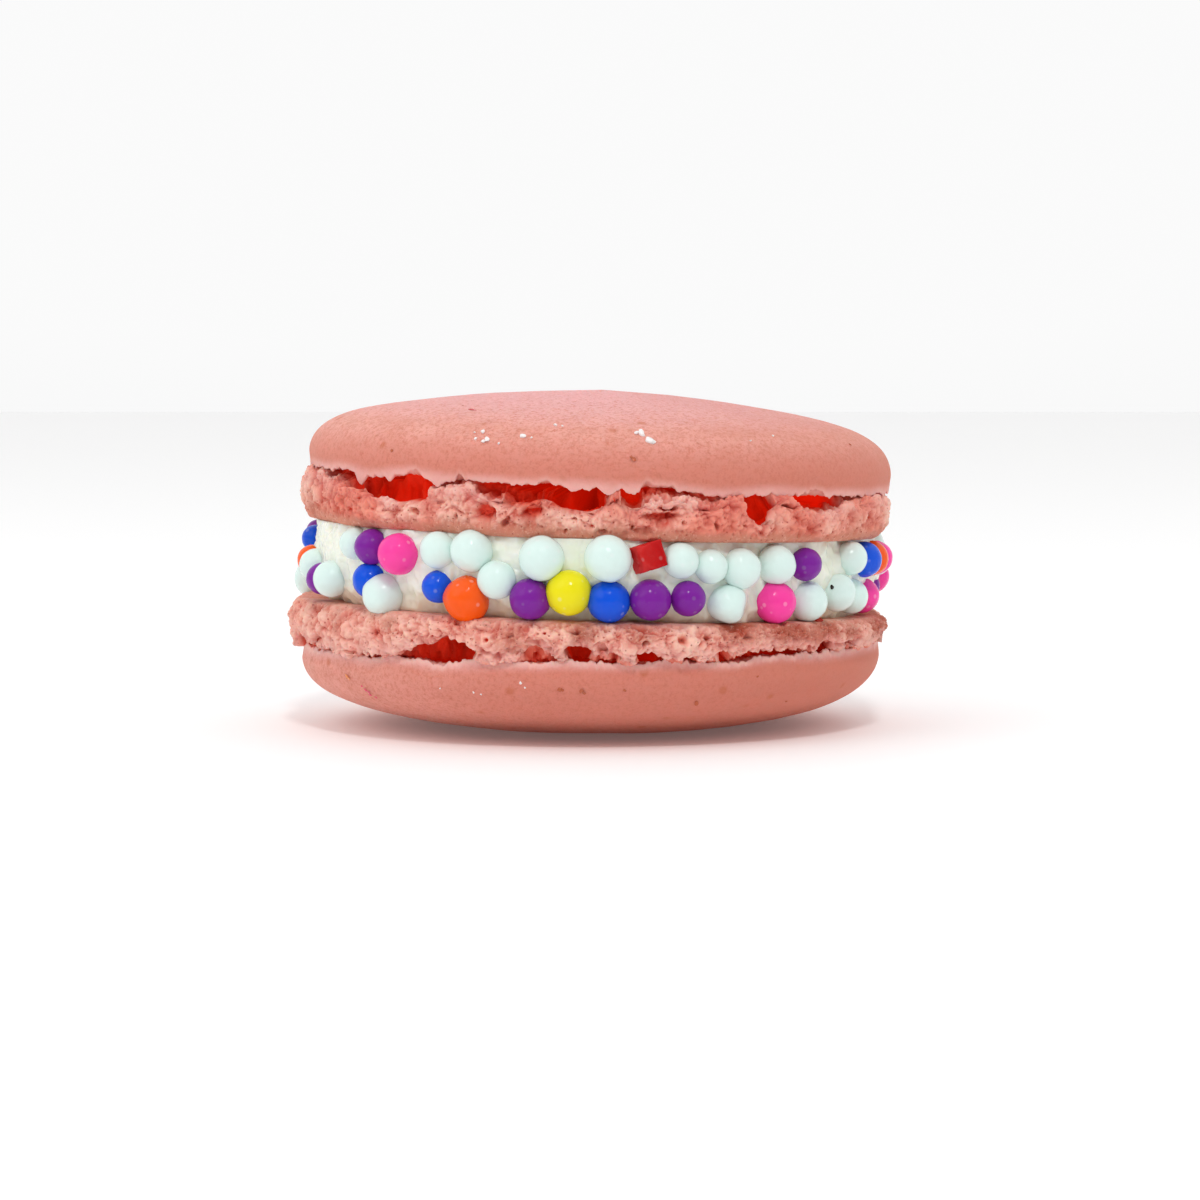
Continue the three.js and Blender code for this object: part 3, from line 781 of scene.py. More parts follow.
def settle(bearing, height, size, colour):
    """A pearl pressed into the cream, clear of both rims."""
    angle = math.radians(bearing)
    share = np.clip((height - FACE_HEIGHT_LOWER) / (FACE_HEIGHT_UPPER - FACE_HEIGHT_LOWER), 0, 1)
    sunk = LEFT_SUNK * bump((bearing + 86) / 22) + RIGHT_SUNK * bump((bearing - 84) / 22)
    radius = float(cream_radius(np.array(angle), share)) + PEARL_STAND_OUT * size / 2 - sunk
    pearl = {"angle": angle, "height": height, "size": size, "radius": radius, "colour": colour}
    for _ in range(3):
        clear_of_rim(pearl, UPPER, 1)
        clear_of_rim(pearl, LOWER, -1)
    return pearl


pearls = [settle(*placed) for placed in FRONT_PEARLS + back_pearls()]
print("pearls:", len(pearls))

# %% [markdown]
# ### From places to meshes
#
# The same fine ball is used for every pearl, with its own noise. A ready-made sphere would be
# quicker, but a grid of directions lets the radius change over it, as sugar pearls are a little
# dimpled, and a few of these were squeezed out of round.

# %% Pearl meshes
PEARL_ROWS, PEARL_COLUMNS = 36, 56
# Places in the list of the few that were squeezed out of round
LUMPY_PEARLS = (10, 14, 26, 27)
LUMPY, NEARLY_ROUND = 0.09, 0.02
PEARL_SWELL = 1.045


def round_grid(rows, columns):
    """Unit directions: sine and cosine of the turn times the sine of the tilt; height: minus its cosine."""
    tilt = np.pi * (np.arange(rows) + 0.5)[:, None] / rows
    turn = 2 * np.pi * np.arange(columns)[None, :] / columns
    across = np.sin(tilt)
    return np.stack([across * np.cos(turn), across * np.sin(turn), 0 * turn - np.cos(tilt)], axis=-1)


def ball_directions(rows, columns):
    """The unit directions of a round grid and then of its two poles, one below the other."""
    return np.concatenate([round_grid(rows, columns).reshape(-1, 3), [[0, 0, -1.0], [0, 0, 1.0]]])


def middle_of(pearl):
    """Where a pearl's middle is: its radius along its bearing, and its height."""
    along = np.array([math.sin(pearl["angle"]), -math.cos(pearl["angle"]), 0])
    return along * pearl["radius"] + np.array([0, 0, pearl["height"]]) + CENTRE


def pearl_points(pearl, number):
    """A ball: the radius changes softly over it, and it is squashed a little along one direction."""
    unit = ball_directions(PEARL_ROWS, PEARL_COLUMNS)
    shifted = unit + 7.3 * number
    lumpy = LUMPY if number in LUMPY_PEARLS else NEARLY_ROUND
    uneven = PEARL_SWELL + lumpy * cloud(shifted, 0.8, 111) + 0.014 * cloud(shifted, 0.3, 113)
    squash = 1 - 0.02 * chance(np.array([[number, 3, 5]]), 117) * (unit @ np.array([0.6, 0.0, 0.8])) ** 2
    return middle_of(pearl) + unit * (uneven * squash)[:, None] * pearl["size"] / 2


def pearl_mesh(colour):
    """All pearls of one colour as one mesh of separate balls."""
    chosen = [(number, pearl) for number, pearl in enumerate(pearls) if pearl["colour"] == colour]
    points = np.concatenate([pearl_points(pearl, number) for number, pearl in chosen])
    faces = []
    for order in range(len(chosen)):
        faces += closed_faces(PEARL_ROWS, PEARL_COLUMNS, order * (PEARL_ROWS * PEARL_COLUMNS + 2))
    return make_mesh("pearls_" + colour, points, faces)


pearl_pieces = {colour: pearl_mesh(colour) for colour, _ in BACK_COLOURS}

# %% [markdown]
# ## The cream
#
# The cream is a soft wedge, thicker on the left. Seen between the pearls it is lumpy, it climbs
# a little up each pearl that was pressed into it, and it draws in above the lower shell.

# %% Cream
CREAM_COLUMNS, CREAM_ROWS = 1100, 44
CREAM_FULLER = 0.25
# Width, height and seed of each size of lump
CREAM_LUMPS = [(2.1, 0.22, 121), (0.8, 0.2, 123), (0.3, 0.1, 125)]


def pressed_up(angle, height):
    """How far the cream rises round the pearls, in mm: a soft collar a bit wider than each pearl."""
    rise = np.zeros(height.shape)
    for pearl in pearls:
        turned = turn_between(np.degrees(angle), math.degrees(pearl["angle"]))
        across = np.radians(turned) * CREAM_RADIUS
        distance = np.hypot(across, height - pearl["height"])
        rise = np.maximum(rise, 0.5 * bump(distance / (pearl["size"] / 2 + 0.55)))
    return rise


def make_cream():
    """The cream: its edge between the two faces, moved out by lumps and by collars round pearls."""
    angle = 2 * np.pi * np.arange(CREAM_COLUMNS)[None, :] / CREAM_COLUMNS
    share = np.linspace(0, 1, CREAM_ROWS)[:, None]
    radius = cream_radius(angle + 0 * share, share)
    across = radius * np.sin(angle)
    low, high = face_height(LOWER, across) - 0.05, face_height(UPPER, across) + 0.05
    height = low + share * (high - low)
    smooth = np.stack([across, -radius * np.cos(angle), height], axis=-1)
    lumps = sum(rise * cloud(smooth, wide, seed) for wide, rise, seed in CREAM_LUMPS)
    bearing = np.degrees(angle)
    smear = 0.25 * bump(turn_between(bearing, -64) / 8) * bump((share - 0.6) / 0.6)
    fuller = CREAM_FULLER * (0.5 + 0.5 * np.cos(angle)) - 0.55 * bump(turn_between(bearing, -88) / 30)
    lift = fuller + lumps + pressed_up(angle, height) + smear
    grid = smooth + outward(smooth) * lift[..., None] + CENTRE
    poles = np.array([[0, 0, face_height(LOWER, 0)], [0, 0, face_height(UPPER, 0)]]) + CENTRE
    # low: where painted shade browns the bottom of the cream
    return closed_grid("cream", grid, *poles, {"low": (1 - ramp(0.05, 0.4, share)) + 0 * angle})


cream = make_cream()

# %% [markdown]
# ## The lump of red sugar
#
# One topping is not a pearl but a broken bit of red rock sugar. It is made as a small cube,
# turned and tipped, with some corners broken off. Along every direction the radius is the
# nearest plane's distance over the cosine of the angle to it, which gives flat facets with
# sharp edges.

# %% Red sugar
ROCK_CUTS = 9
ROCK_SHARE = 0.88
ROCK_TURN = math.radians(30)
ROCK_SLANT = math.radians(17)
ROCK_ROWS, ROCK_COLUMNS = 48, 72


def make_rock():
    """A cube with broken corners: the radius along a direction is the least of plane distance / cosine."""
    rock = next(pearl for pearl in pearls if pearl["colour"] == "red")
    unit = round_grid(ROCK_ROWS, ROCK_COLUMNS)
    cells = np.stack(np.meshgrid(np.arange(ROCK_CUTS), [2], np.arange(3), indexing="ij"), axis=-1)[:, 0]
    corners = 2 * chance(cells, 131) - 1
    side, ahead = math.sin(ROCK_TURN), math.cos(ROCK_TURN)
    slant, level = math.sin(ROCK_SLANT), math.cos(ROCK_SLANT)
    about_z = np.array([[ahead, -side, 0], [side, ahead, 0], [0, 0, 1]])
    about_y = np.array([[level, 0, -slant], [0, 1, 0], [slant, 0, level]])
    sides = (about_y @ about_z).T
    box = np.concatenate([sides, -sides])
    planes = np.concatenate([corners, box])
    planes = planes / np.linalg.norm(planes, axis=-1, keepdims=True)
    distances = np.append(1.16 + 0.2 * np.abs(corners[:, 0]), np.full(len(box), 0.9))
    facing = np.maximum(unit @ planes.T, 1e-3)
    radius = (distances / facing).min(axis=-1) * ROCK_SHARE * rock["size"] / 2
    radius = radius * (1 + 0.03 * cloud(unit, 0.16, 137))
    middle = middle_of(rock)
    ends = middle + np.array([[0, 0, -radius[0].mean()], [0, 0, radius[-1].mean()]])
    return closed_grid("sugar_rock_red", middle + unit * radius[..., None], *ends, {})


rock = make_rock()

# %% [markdown]
# ## Crumbs of sugar and flecks of colour
#
# Handling has left a few sugar crystals on the domes and tiny flecks of the pearls' colours on
# both shells. They are listed by bearing and by share of the dome's radius. Each is a
# small ball that a few planes cut to an angular shape, flattened and pressed into the skin.

# %% Crystals and flecks
# Bearing, share of the dome's radius, width in mm
UPPER_CRYSTALS = [
    (-22.0, 0.963, 0.34), (-23.8, 0.936, 0.3), (-15.2, 0.944, 0.34), (-9.8, 0.873, 0.22),
    (-22.8, 0.969, 0.24), (-24.6, 0.963, 0.2), (-19.5, 0.972, 0.16), (-13.5, 0.95, 0.15),
    (-25.5, 0.94, 0.14), (-8.2, 0.88, 0.14), (8.0, 0.91, 0.46), (7.2, 0.905, 0.3), (9.2, 0.943, 0.5),
    (10.1, 0.948, 0.3), (31, 0.93, 0.13), (38, 0.9, 0.12),
]
LOWER_CRYSTALS = [
    (-12.8, 0.996, 0.17), (-22.2, 0.983, 0.14), (-29.2, 0.987, 0.11), (-20.8, 0.98, 0.11),
    (-12, 0.992, 0.11),
]
RED_FLECKS = [(-34.8, 0.744, 0.26), (-34.2, 0.746, 0.2), (-35.6, 0.742, 0.16), (-33.4, 0.75, 0.12)]
PINK_FLECKS = [
    (-49.2, 0.971, 0.24), (-48.6, 0.966, 0.26), (-48.8, 0.957, 0.2), (-47.6, 0.95, 0.2),
    (-49.8, 0.98, 0.14),
]
ORANGE_FLECKS = [(-53.8, 0.992, 0.34), (-53.2, 0.99, 0.24)]
BROWN_FLECKS = [
    (6.2, 0.989, 0.3), (5.6, 0.986, 0.2), (61.2, 0.939, 0.2), (-42.8, 0.993, 0.22), (-41.8, 0.687, 0.12),
]
BROWN_LOWER_FLECKS = [
    (-5.5, 0.99, 0.3), (-4.9, 0.989, 0.2), (-1.5, 0.988, 0.3), (-0.9, 0.985, 0.22), (6.5, 0.989, 0.2),
    (21.2, 0.956, 0.34), (33.0, 0.997, 0.16), (43.2, 0.942, 0.16),
]
# How far a fleck's middle lies outside the skin, in mm, and how fine and how angular it is
FLECK_LIFT = 0.05
FLECK_ROWS, FLECK_COLUMNS = 10, 16
FLECK_PLANES = 9


def dome_place(shell, bearing, share):
    """The point of the dome's skin at a bearing and a share of its radius, by the dome's own formula."""
    angle = math.radians(shell["turned"] * bearing)
    across = share * shell["dome_radius"] * math.sin(angle)
    over = (shell["dome"] + shell["dome_lean"] * across) * dome_rise(shell, share)
    height = shell["lip"] + shell["lip_lean"] * across + over
    return place_shell(shell, np.array([across, -share * shell["dome_radius"] * math.cos(angle), height]))


def dome_spots(shell, rows):
    """For each row the place on the skin, the way out of it, and the width of what lies there."""
    spots = []
    for bearing, share, width in rows:
        place = dome_place(shell, bearing, share)
        beside = dome_place(shell, bearing + 0.5, share) - place
        away = np.cross(dome_place(shell, bearing, share - 0.004) - place, beside)
        away = away * np.sign(away @ (place - CENTRE - np.array([0, 0, FACE_HEIGHT_LOWER + 3])))
        away = away / np.linalg.norm(away)
        spots.append((place + FLECK_LIFT * away, away, width))
    return spots


def make_flecks(name, spots, flat):
    """Uneven balls, one mesh: along each direction the radius is the least of plane distance / cosine."""
    unit = ball_directions(FLECK_ROWS, FLECK_COLUMNS)
    points, faces = [], []
    for order, (place, away, width) in enumerate(spots):
        marks = np.meshgrid([order], np.arange(FLECK_PLANES), np.arange(3), indexing="ij")
        cells = np.stack(marks, axis=-1)[0]
        planes = 2 * chance(cells, 141) - 1
        planes = planes / np.linalg.norm(planes, axis=-1, keepdims=True)
        body = unit * (0.85 / np.maximum(unit @ planes.T, 0.5)).min(axis=-1)[:, None] * width / 2
        points.append(place + body - (1 - flat) * (body @ away)[:, None] * away)
        faces += closed_faces(FLECK_ROWS, FLECK_COLUMNS, order * len(unit))
    return make_mesh(name, np.concatenate(points), faces)


def pearl_spot(bearing, turned, raised, width):
    """A place on the lower row's pearl nearest a bearing, turned and raised from its outermost point."""
    row = [pearl for pearl in pearls if pearl["height"] <= 12]
    pearl = min(row, key=lambda one: abs(math.degrees(one["angle"]) - bearing))
    side, up = pearl["angle"] + math.radians(turned), math.radians(raised)
    away = np.array([math.cos(up) * math.sin(side), -math.cos(up) * math.cos(side), math.sin(up)])
    return [(middle_of(pearl) + away * 1.03 * pearl["size"] / 2, away, width)]


crystal_spots = dome_spots(UPPER, UPPER_CRYSTALS) + dome_spots(LOWER, LOWER_CRYSTALS)
crystals = make_flecks("sugar_crystals", crystal_spots, 0.8)
red_flecks = make_flecks("red_flecks", dome_spots(UPPER, RED_FLECKS), 0.3)
pink_flecks = make_flecks("pink_flecks", dome_spots(LOWER, PINK_FLECKS), 0.3)
orange_flecks = make_flecks("orange_flecks", dome_spots(LOWER, ORANGE_FLECKS), 0.3)
brown_spots = dome_spots(UPPER, BROWN_FLECKS) + dome_spots(LOWER, BROWN_LOWER_FLECKS)
brown_flecks = make_flecks("brown_flecks", brown_spots, 0.3)
dark_speck = make_flecks("dark_speck", pearl_spot(56.8, -72, 18, 0.3), 0.4)

# %% [markdown]
# ## Shared shader effects
#
# Shell, cream and pearls all need grain that is finer than any mesh. One node group gives it
# to all of them: a height for the Bump node, a slow mottle for the colour, and specks. It reads
# Object coordinates, so the pattern stays on the piece from every side. Shaders stay outside
# the group, in each material.

# %% Node groups
def colour(red, green, blue):
    """A colour as a screen shows it, 0 to 255, turned into the linear light that a shader wants."""
    screen = np.array([red, green, blue]) / 255
    linear = np.where(screen <= 0.04045, screen / 12.92, ((screen + 0.055) / 1.055) ** 2.4)
    return (*linear.tolist(), 1.0)


# Scales of the coarse noise, the mottle and the specks, as shares of the finest noise's scale
COARSE_SHARE, MOTTLE_SHARE, SPECK_SHARE = 0.4, 0.06, 0.22
# Distances from a speck's seed, in cells, at which it begins and at which it is full
SPECK_EDGE, SPECK_CORE = 0.24, 0.12


def grain_group():
    """Height: two noises added. Mottle: a broad noise. Specks: some cells of a Voronoi pattern."""
    group = bpy.data.node_groups.new("fine_grain", "ShaderNodeTree")
    group.interface.new_socket("Vector", in_out="INPUT", socket_type="NodeSocketVector")
    scale = group.interface.new_socket("Scale", in_out="INPUT", socket_type="NodeSocketFloat")
    scale.default_value = 3000.0
    rarity = group.interface.new_socket("Rarity", in_out="INPUT", socket_type="NodeSocketFloat")
    rarity.default_value = 0.8
    for name in ("Height", "Mottle", "Specks"):
        group.interface.new_socket(name, in_out="OUTPUT", socket_type="NodeSocketFloat")
    nodes, links = group.nodes, group.links
    entry, leave = nodes.new("NodeGroupInput"), nodes.new("NodeGroupOutput")
    fine, coarse, mottle = (nodes.new("ShaderNodeTexNoise") for _ in range(3))
    coarser, broader = nodes.new("ShaderNodeMath"), nodes.new("ShaderNodeMath")
    for node, factor in ((coarser, COARSE_SHARE), (broader, MOTTLE_SHARE)):
        node.operation = "MULTIPLY"
        node.inputs[1].default_value = factor
        links.new(entry.outputs["Scale"], node.inputs[0])
    fine.inputs["Detail"].default_value = 3.0
    coarse.inputs["Detail"].default_value = 2.0
    mottle.inputs["Detail"].default_value = 4.0
    scales = (entry.outputs["Scale"], coarser.outputs[0], broader.outputs[0])
    for node, source in zip((fine, coarse, mottle), scales):
        links.new(entry.outputs["Vector"], node.inputs["Vector"])
        links.new(source, node.inputs["Scale"])
    both = nodes.new("ShaderNodeMath")
    both.operation = "ADD"
    links.new(fine.outputs["Fac"], both.inputs[0])
    links.new(coarse.outputs["Fac"], both.inputs[1])
    links.new(both.outputs[0], leave.inputs["Height"])
    links.new(mottle.outputs["Fac"], leave.inputs["Mottle"])
    cells = nodes.new("ShaderNodeTexVoronoi")
    sparser = nodes.new("ShaderNodeMath")
    sparser.operation = "MULTIPLY"
    sparser.inputs[1].default_value = SPECK_SHARE
    links.new(entry.outputs["Scale"], sparser.inputs[0])
    links.new(entry.outputs["Vector"], cells.inputs["Vector"])
    links.new(sparser.outputs[0], cells.inputs["Scale"])
    speck = nodes.new("ShaderNodeMapRange")
    speck.inputs["From Min"].default_value = SPECK_EDGE
    speck.inputs["From Max"].default_value = SPECK_CORE
    links.new(cells.outputs["Distance"], speck.inputs["Value"])
    rare = nodes.new("ShaderNodeMath")
    rare.operation = "GREATER_THAN"
    links.new(entry.outputs["Rarity"], rare.inputs[1])
    split = nodes.new("ShaderNodeSeparateColor")
    links.new(cells.outputs["Color"], split.inputs["Color"])
    links.new(split.outputs["Red"], rare.inputs[0])
    product = nodes.new("ShaderNodeMath")
    product.operation = "MULTIPLY"
    links.new(speck.outputs["Result"], product.inputs[0])
    links.new(rare.outputs[0], product.inputs[1])
    links.new(product.outputs[0], leave.inputs["Specks"])
    return group


fine_grain = grain_group()
print("fine_grain has", len(fine_grain.nodes), "nodes")

# %% [markdown]
# ### A short way to lay colours
#
# A finish is built like paint, one layer over another. Each layer is a colour, an amount that
# a value or a grain gives, and what lies below. These few methods add the nodes for it, so that
# the recipes further on can be read line by line.

# %% Building a finish
class Finish:
    """A material under construction, with short ways to add the nodes that this lesson uses."""

    def __init__(self, name):
        self.material = bpy.data.materials.new(name)
        self.material.use_nodes = True
        self.nodes = self.material.node_tree.nodes
        self.links = self.material.node_tree.links
        self.shader = self.nodes["Principled BSDF"]
        self.place = self.nodes.new("ShaderNodeTexCoord").outputs["Object"]

    def grain(self, scale, rarity=0.8):
        """The outputs of the shared grain: rarity is the share of the cells that hold no speck."""
        node = self.nodes.new("ShaderNodeGroup")
        node.node_tree = fine_grain
        node.inputs["Scale"].default_value = scale
        node.inputs["Rarity"].default_value = rarity
        self.links.new(self.place, node.inputs["Vector"])
        return node.outputs

    def value(self, name):
        """A value that the mesh carries."""
        node = self.nodes.new("ShaderNodeAttribute")
        node.attribute_name = name
        return node.outputs["Fac"]

    def between(self, amount, low, high):
        """An amount from low to high, as 0 to 1."""
        node = self.nodes.new("ShaderNodeMapRange")
        node.inputs["From Min"].default_value, node.inputs["From Max"].default_value = low, high
        self.links.new(amount, node.inputs["Value"])
        return node.outputs["Result"]

    def math(self, operation, first, second):
        """Two numbers or outputs, combined by a Math node."""
        node = self.nodes.new("ShaderNodeMath")
        node.operation = operation
        for source, socket in ((first, node.inputs[0]), (second, node.inputs[1])):
            if isinstance(source, float):
                socket.default_value = source
            else:
                self.links.new(source, socket)
        return node.outputs[0]

    def mix(self, amount, first, second):
        """The first colour at amount 0 and the second at 1."""
        node = self.nodes.new("ShaderNodeMix")
        node.data_type = "RGBA"
        self.links.new(amount, node.inputs["Factor"])
        for source, socket in ((first, node.inputs[6]), (second, node.inputs[7])):
            if isinstance(source, tuple):
                socket.default_value = source
            else:
                self.links.new(source, socket)
        return node.outputs[2]

    def bump(self, height, strength, distance_mm):
        """Grain finer than the mesh, as a bump of a given depth."""
        node = self.nodes.new("ShaderNodeBump")
        node.inputs["Strength"].default_value = strength
        node.inputs["Distance"].default_value = distance_mm * MM
        self.links.new(height, node.inputs["Height"])
        self.links.new(node.outputs["Normal"], self.shader.inputs["Normal"])

    def set(self, **values):
        """Constants of the shader by their socket's name, written with underscores."""
        for name, value in values.items():
            self.shader.inputs[name.replace("_", " ").title().replace("Ior", "IOR")].default_value = value


print("a finish can:", [name for name in vars(Finish) if not name.startswith("_")])

# %% [markdown]
# ## Finishes
#
# Baked meringue is matt and lets light in a little, and a painted glow, an emission, makes the
# cracks glow red instead of going black. The values that the meshes carry steer the colour: paler
# on the skirt, tan at the base of the foot, painted light on the tips of the crumb, and painted
# shade, deep red, inside the tears. The domes carry painted shade on their sides and right, painted
# light on the left and a pinker top that is partly painted sheen. The cream is moist, so it is
# smoother and lets in more light. The pearls are hard sugar with a shine, and pale specks are
# painted on them as glints.

# %% Shell finish
def shell_finish():
    """Skin on the dome, crumb on the foot, red painted shade in the tears: mixed one over another by the
    values.
    """
    finish = Finish("baked_meringue")
    grain = finish.grain(7500)
    flecks = finish.grain(2300)
    pinholes = finish.grain(12000, 0.35)
    foot = finish.value("foot")
    tip = finish.value("tip")
    mottled = finish.between(grain["Mottle"], 0.35, 0.65)
    skin = finish.mix(mottled, colour(227, 157, 142), colour(236, 167, 154))
    # Painted shade on the dome's sides and over most of the lower dome, lifted by painted light on the
    # left, and a pinker top that is partly its own colour and partly painted sheen
    skin = finish.mix(finish.between(finish.value("crown"), 0.45, 0), skin, colour(219, 137, 120))
    skin = finish.mix(finish.between(finish.value("crown"), 0.6, 1.1), skin, colour(236, 176, 180))
    # Painted shade on the right of the domes
    skin = finish.mix(finish.between(finish.value("toast"), 0, 2.6), skin, colour(190, 100, 76))
    skin = finish.mix(finish.between(grain["Height"], 0.92, 1.4), skin, colour(207, 123, 102))
    skin = finish.mix(finish.between(flecks["Specks"], 0, 1.9), skin, colour(196, 104, 66))
    # Painted light and shade: pale on the crumb's tips, dark red in its valleys
    crumb = finish.mix(tip, colour(204, 72, 54), colour(254, 202, 184))
    crumb = finish.mix(finish.between(finish.value("base"), 0, 1.6), crumb, colour(190, 100, 68))
    # Brown patches of toast, with painted shade towards the right of the lower foot
    crumb = finish.mix(finish.between(finish.value("toast"), 0, 1.6), crumb, colour(156, 56, 18))
    # Painted highlights: paler where the fine grain stands up
    crumb = finish.mix(finish.between(grain["Height"], 1.05, 1.9), crumb, colour(252, 214, 196))
    # Painted shade: a dark red in the pinholes
    crumb = finish.mix(finish.between(pinholes["Specks"], 0, 1.5), crumb, colour(164, 50, 34))
    # From here on one colour for both, as the foot's value chooses between skin and crumb
    crumb = finish.mix(foot, skin, crumb)
    crumb = finish.mix(finish.between(finish.value("skirt"), 0, 1.3), crumb, colour(240, 182, 176))
    crumb = finish.mix(finish.between(finish.value("teeth"), 0, 1.6), crumb, colour(248, 204, 194))
    # Painted shade in the tears: rosy where they are shallow, a dark red where they are deep
    inner = finish.mix(tip, colour(150, 6, 2), colour(236, 62, 36))
    shallow_shade = finish.mix(tip, colour(190, 50, 36), colour(238, 128, 106))
    torn = finish.mix(finish.between(finish.value("red"), 0.02, 0.4), crumb, shallow_shade)
    torn = finish.mix(finish.between(finish.value("red"), 0.32, 0.72), torn, inner)
    finish.links.new(torn, finish.shader.inputs["Base Color"])
    # Painted glow: an emission in the deepest tears stands in for light that has passed through the crumb
    lit = finish.between(finish.value("glow"), 0.35, 1.0)
    lit = finish.math("MULTIPLY", lit, finish.between(tip, -0.6, 1.0))
    glow = finish.mix(lit, colour(0, 0, 0), colour(255, 40, 4))
    finish.links.new(glow, finish.shader.inputs["Emission Color"])
    holes = finish.math("MULTIPLY", finish.math("MULTIPLY", pinholes["Specks"], -0.7), foot)
    finish.bump(finish.math("ADD", grain["Height"], holes), 0.7, 0.07)
    finish.set(roughness=0.72, specular_ior_level=0.18, subsurface_weight=0.35, subsurface_scale=0.0006)
    finish.set(emission_strength=0.26)
    finish.shader.inputs["Subsurface Radius"].default_value = (1.0, 0.28, 0.16)
    return finish.material


meringue = shell_finish()
for piece in (upper_foot, lower_foot, upper_dome, lower_dome):
    piece.data.materials.append(meringue)
print(meringue.name, "has", len(meringue.node_tree.nodes), "nodes")

# %% [markdown]
# ### Cream
#
# The cream is nearly white and moist. A soft mottle keeps it from looking like paint, and light
# goes deep into it, so that the shadows between the pearls stay pale.

# %% Cream finish
def cream_finish():
    """Two creamy whites by the mottle, with painted shade, a warm brown, low down where the cream meets the
    lower shell.
    """
    finish = Finish("soft_cream")
    grain = finish.grain(2400)
    mottled = finish.between(grain["Mottle"], 0.3, 0.7)
    body = finish.mix(mottled, colour(250, 253, 238), colour(239, 246, 224))
    # Painted shade: a warm brown low down on the cream, above the lower shell
    body = finish.mix(finish.between(finish.value("low"), 0, 2.2), body, colour(226, 196, 160))
    finish.links.new(body, finish.shader.inputs["Base Color"])
    finish.bump(grain["Height"], 0.7, 0.05)
    finish.set(roughness=0.22, specular_ior_level=0.6, subsurface_weight=0.4, subsurface_scale=0.0012)
    finish.shader.inputs["Subsurface Radius"].default_value = (1.0, 0.8, 0.5)
    return finish.material


cream.data.materials.append(cream_finish())
print(cream.name, "wears", cream.data.materials[0].name)

# %% [markdown]
# ### Sugar
#
# Pearls, crystals and most flecks are coloured sugar, so one recipe makes all of them, and it
# also does for the few brown specks of almond. Only the tints differ, and each gets pale specks
# painted on as glints. The lump of rock sugar has two tints mixed by a mottle; the lighter one
# is painted light that stands in for light shining through its edges.

# %% Sugar finishes
def pearl_finish(name, tint, second=None):
    """A tint that the mottle shifts to a second one, with fine pale specks painted on it as glints."""
    finish = Finish("sugar_" + name)
    grain = finish.grain(2600)
    faded = tuple(0.97 * channel + 0.03 * max(tint[:3]) for channel in tint[:3]) + (1.0,)
    coat = finish.mix(finish.between(grain["Mottle"], 0.35, 0.75), tint, second or faded)
    # Painted glints: pale specks on the sugar
    painted_glints = tuple(0.5 * channel + 0.5 * max(tint[:3]) for channel in tint[:3]) + (1.0,)
    coat = finish.mix(finish.between(finish.grain(5200, 0.3)["Specks"], 0, 2.8), coat, painted_glints)
    finish.links.new(coat, finish.shader.inputs["Base Color"])
    finish.bump(grain["Height"], 0.7, 0.04)
    finish.set(roughness=0.14, specular_ior_level=0.18, subsurface_weight=0.3, subsurface_scale=0.0006)
    finish.shader.inputs["Subsurface Radius"].default_value = (1.0, 1.0, 1.0)
    return finish.material


PEARL_TINTS = {
    "white": colour(224, 245, 239),
    "purple": colour(128, 34, 156),
    "blue": colour(0, 84, 222),
    "pink": colour(255, 66, 164),
    "orange": colour(254, 92, 0),
    "yellow": colour(240, 228, 0),
}
for name, piece in pearl_pieces.items():
    piece.data.materials.append(pearl_finish(name, PEARL_TINTS[name]))
# The rock's lighter red, laid by the mottle, is painted light for light shining through it
rock.data.materials.append(pearl_finish("rock", colour(188, 8, 14), colour(234, 72, 66)))
crystals.data.materials.append(pearl_finish("crystal", colour(255, 250, 248)))
red_flecks.data.materials.append(pearl_finish("red_fleck", colour(226, 84, 90)))
pink_flecks.data.materials.append(pearl_finish("pink_fleck", colour(238, 92, 124)))
orange_flecks.data.materials.append(pearl_finish("orange_fleck", colour(236, 150, 96)))
brown_flecks.data.materials.append(pearl_finish("brown_fleck", colour(190, 98, 66)))
dark_speck.data.materials.append(pearl_finish("dark_speck", colour(40, 30, 26)))
print("materials:", [material.name for material in bpy.data.materials])

# %% [markdown]
# ## What stands for what
#
# The fine pieces take the place of the plain solids, which are hidden, and ride on the one body
# that the macaron is. A table pairs each piece with its slot name and is printed.

# %% Frame links
for piece in (upper_foot, upper_dome, crystals, red_flecks, brown_flecks):
    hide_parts("upper_shell")
for piece in (lower_foot, lower_dome, pink_flecks, orange_flecks):
    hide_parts("lower_shell")
for piece in (cream, rock, dark_speck, *pearl_pieces.values()):
    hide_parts("filling")
slots = {upper_foot: "shell", upper_dome: "shell", lower_foot: "shell", lower_dome: "shell", cream: "cream"}
slots.update({piece: "pearl_" + name for name, piece in pearl_pieces.items()})
slots.update({rock: "pearl_red", red_flecks: "pearl_red", crystals: "pearl_white", brown_flecks: "shell"})
slots[dark_speck] = "shell"
slots.update({pink_flecks: "pearl_pink", orange_flecks: "pearl_orange"})
for piece, slot in slots.items():
    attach(piece, "root")
print("slots:", {piece.name: slot for piece, slot in slots.items()})

# %% [markdown]
# ## Table
#
# A pale table shows food plainly. It is one large square at the height of the macaron's flat
# spot, and it shines a little of itself so that the shadow stays soft.

# %% Table
FLOOR_HALF = 1.5


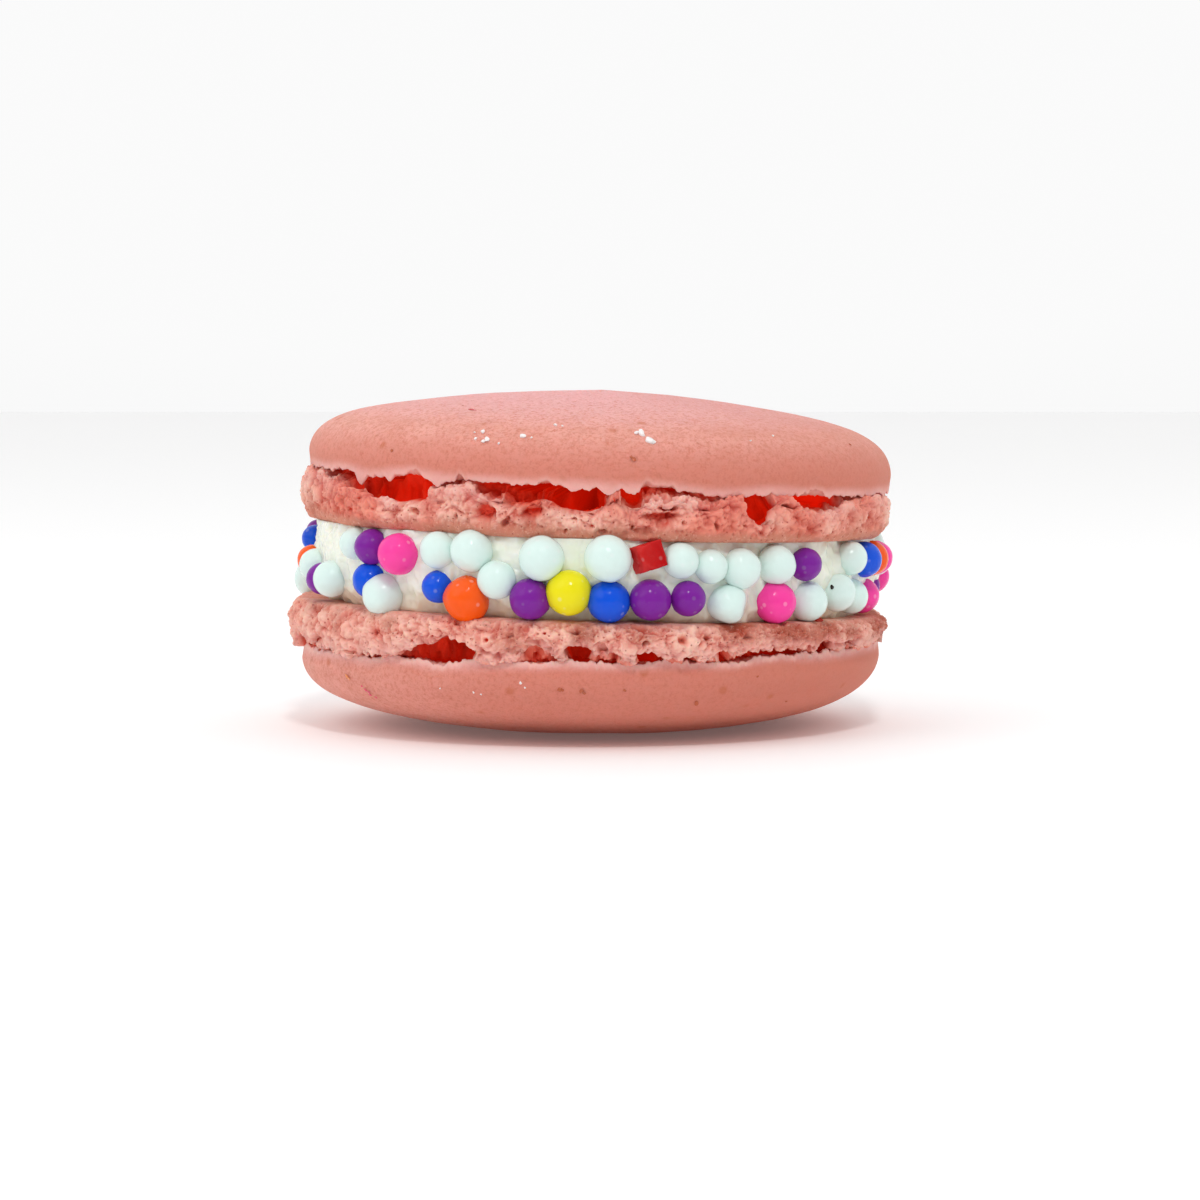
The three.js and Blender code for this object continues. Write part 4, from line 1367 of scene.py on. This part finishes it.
def make_floor():
    """A square of four corners, twice the half width across."""
    corners = FLOOR_HALF * np.array([[-1, -1, 0], [1, -1, 0], [1, 1, 0], [-1, 1, 0]]) / MM
    floor = make_mesh("floor", corners, [np.array([[0, 1, 2, 3]])])
    finish = Finish("pale_table")
    finish.set(base_color=(0.97, 0.97, 0.97, 1.0), roughness=0.7)
    finish.set(emission_color=(1.0, 0.97, 0.97, 1.0), emission_strength=0.07)
    floor.data.materials.append(finish.material)


make_floor()

# %% [markdown]
# ### Light
#
# The photo has no hard shadow, so most light comes from the room itself, brighter behind and
# overhead. One broad lamp on the left shapes the domes, and a small one above the camera puts the
# glints on the sugar.

# %% Light
def area_lamp(name, place, size, power):
    """A square lamp that faces the macaron's middle."""
    lamp = bpy.data.lights.new(name, "AREA")
    lamp.size, lamp.energy = size, power
    thing = bpy.data.objects.new(name, lamp)
    thing.location = place
    aim = np.array([0, 0, 0.013]) - np.array(place)
    thing.rotation_euler = (math.atan2(math.hypot(aim[0], aim[1]), -aim[2]), 0, math.atan2(-aim[0], aim[1]))
    bpy.context.scene.collection.objects.link(thing)


def room_light():
    """Light from all round, bright behind and overhead: a mix of two greys by direction . (0, 0.6, 0.8)."""
    world = bpy.data.worlds.new("soft_room")
    world.use_nodes = True
    nodes, links = world.node_tree.nodes, world.node_tree.links
    way, along = nodes.new("ShaderNodeTexCoord"), nodes.new("ShaderNodeVectorMath")
    share, shade = nodes.new("ShaderNodeMapRange"), nodes.new("ShaderNodeMix")
    along.operation = "DOT_PRODUCT"
    along.inputs[1].default_value = (0, 0.6, 0.8)
    shade.data_type = "RGBA"
    links.new(way.outputs["Generated"], along.inputs[0])
    links.new(along.outputs["Value"], share.inputs["Value"])
    share.inputs["From Min"].default_value, share.inputs["From Max"].default_value = -0.6, 0.6
    links.new(share.outputs["Result"], shade.inputs["Factor"])
    shade.inputs[6].default_value = (0.17, 0.17, 0.17, 1)
    shade.inputs[7].default_value = (0.96, 0.96, 0.96, 1)
    links.new(shade.outputs[2], nodes["Background"].inputs["Color"])
    bpy.context.scene.world = world


# Place and width in metres, power in watts
area_lamp("key", (-0.42, -0.34, 0.42), 0.4, 0.55)
area_lamp("spark", (0.04, -0.5, 0.6), 0.08, 1.35)
room_light()
bpy.context.scene.view_settings.view_transform = "Standard"
print("lamps:", [lamp.name for lamp in bpy.data.lights], "world:", bpy.context.scene.world.name)

# %% [markdown]
# ### Camera
#
# The camera stands about 29 cm away, a little above the macaron, with a long lens, as the
# photo's small perspective shows.

# %% Camera
CAMERA_PLACE = np.array([0.68, -289.68, 29.6])
PITCH_DOWN = math.radians(3.914)
LENS, SENSOR = 108.75, 36.0
camera_data = bpy.data.cameras.new("camera")
camera_data.lens = LENS
camera_data.sensor_width = SENSOR
camera_data.clip_start = 0.01
camera = bpy.data.objects.new("camera", camera_data)
camera.location = CAMERA_PLACE * MM
camera.rotation_euler = (math.pi / 2 - PITCH_DOWN, 0, 0)
bpy.context.scene.collection.objects.link(camera)
bpy.context.scene.camera = camera
print("camera at", CAMERA_PLACE, "mm, pitched down", math.degrees(PITCH_DOWN), "degrees, lens", LENS)

# %% [markdown]
# ## Size
#
# The fine surfaces may stand only a little outside the solids.
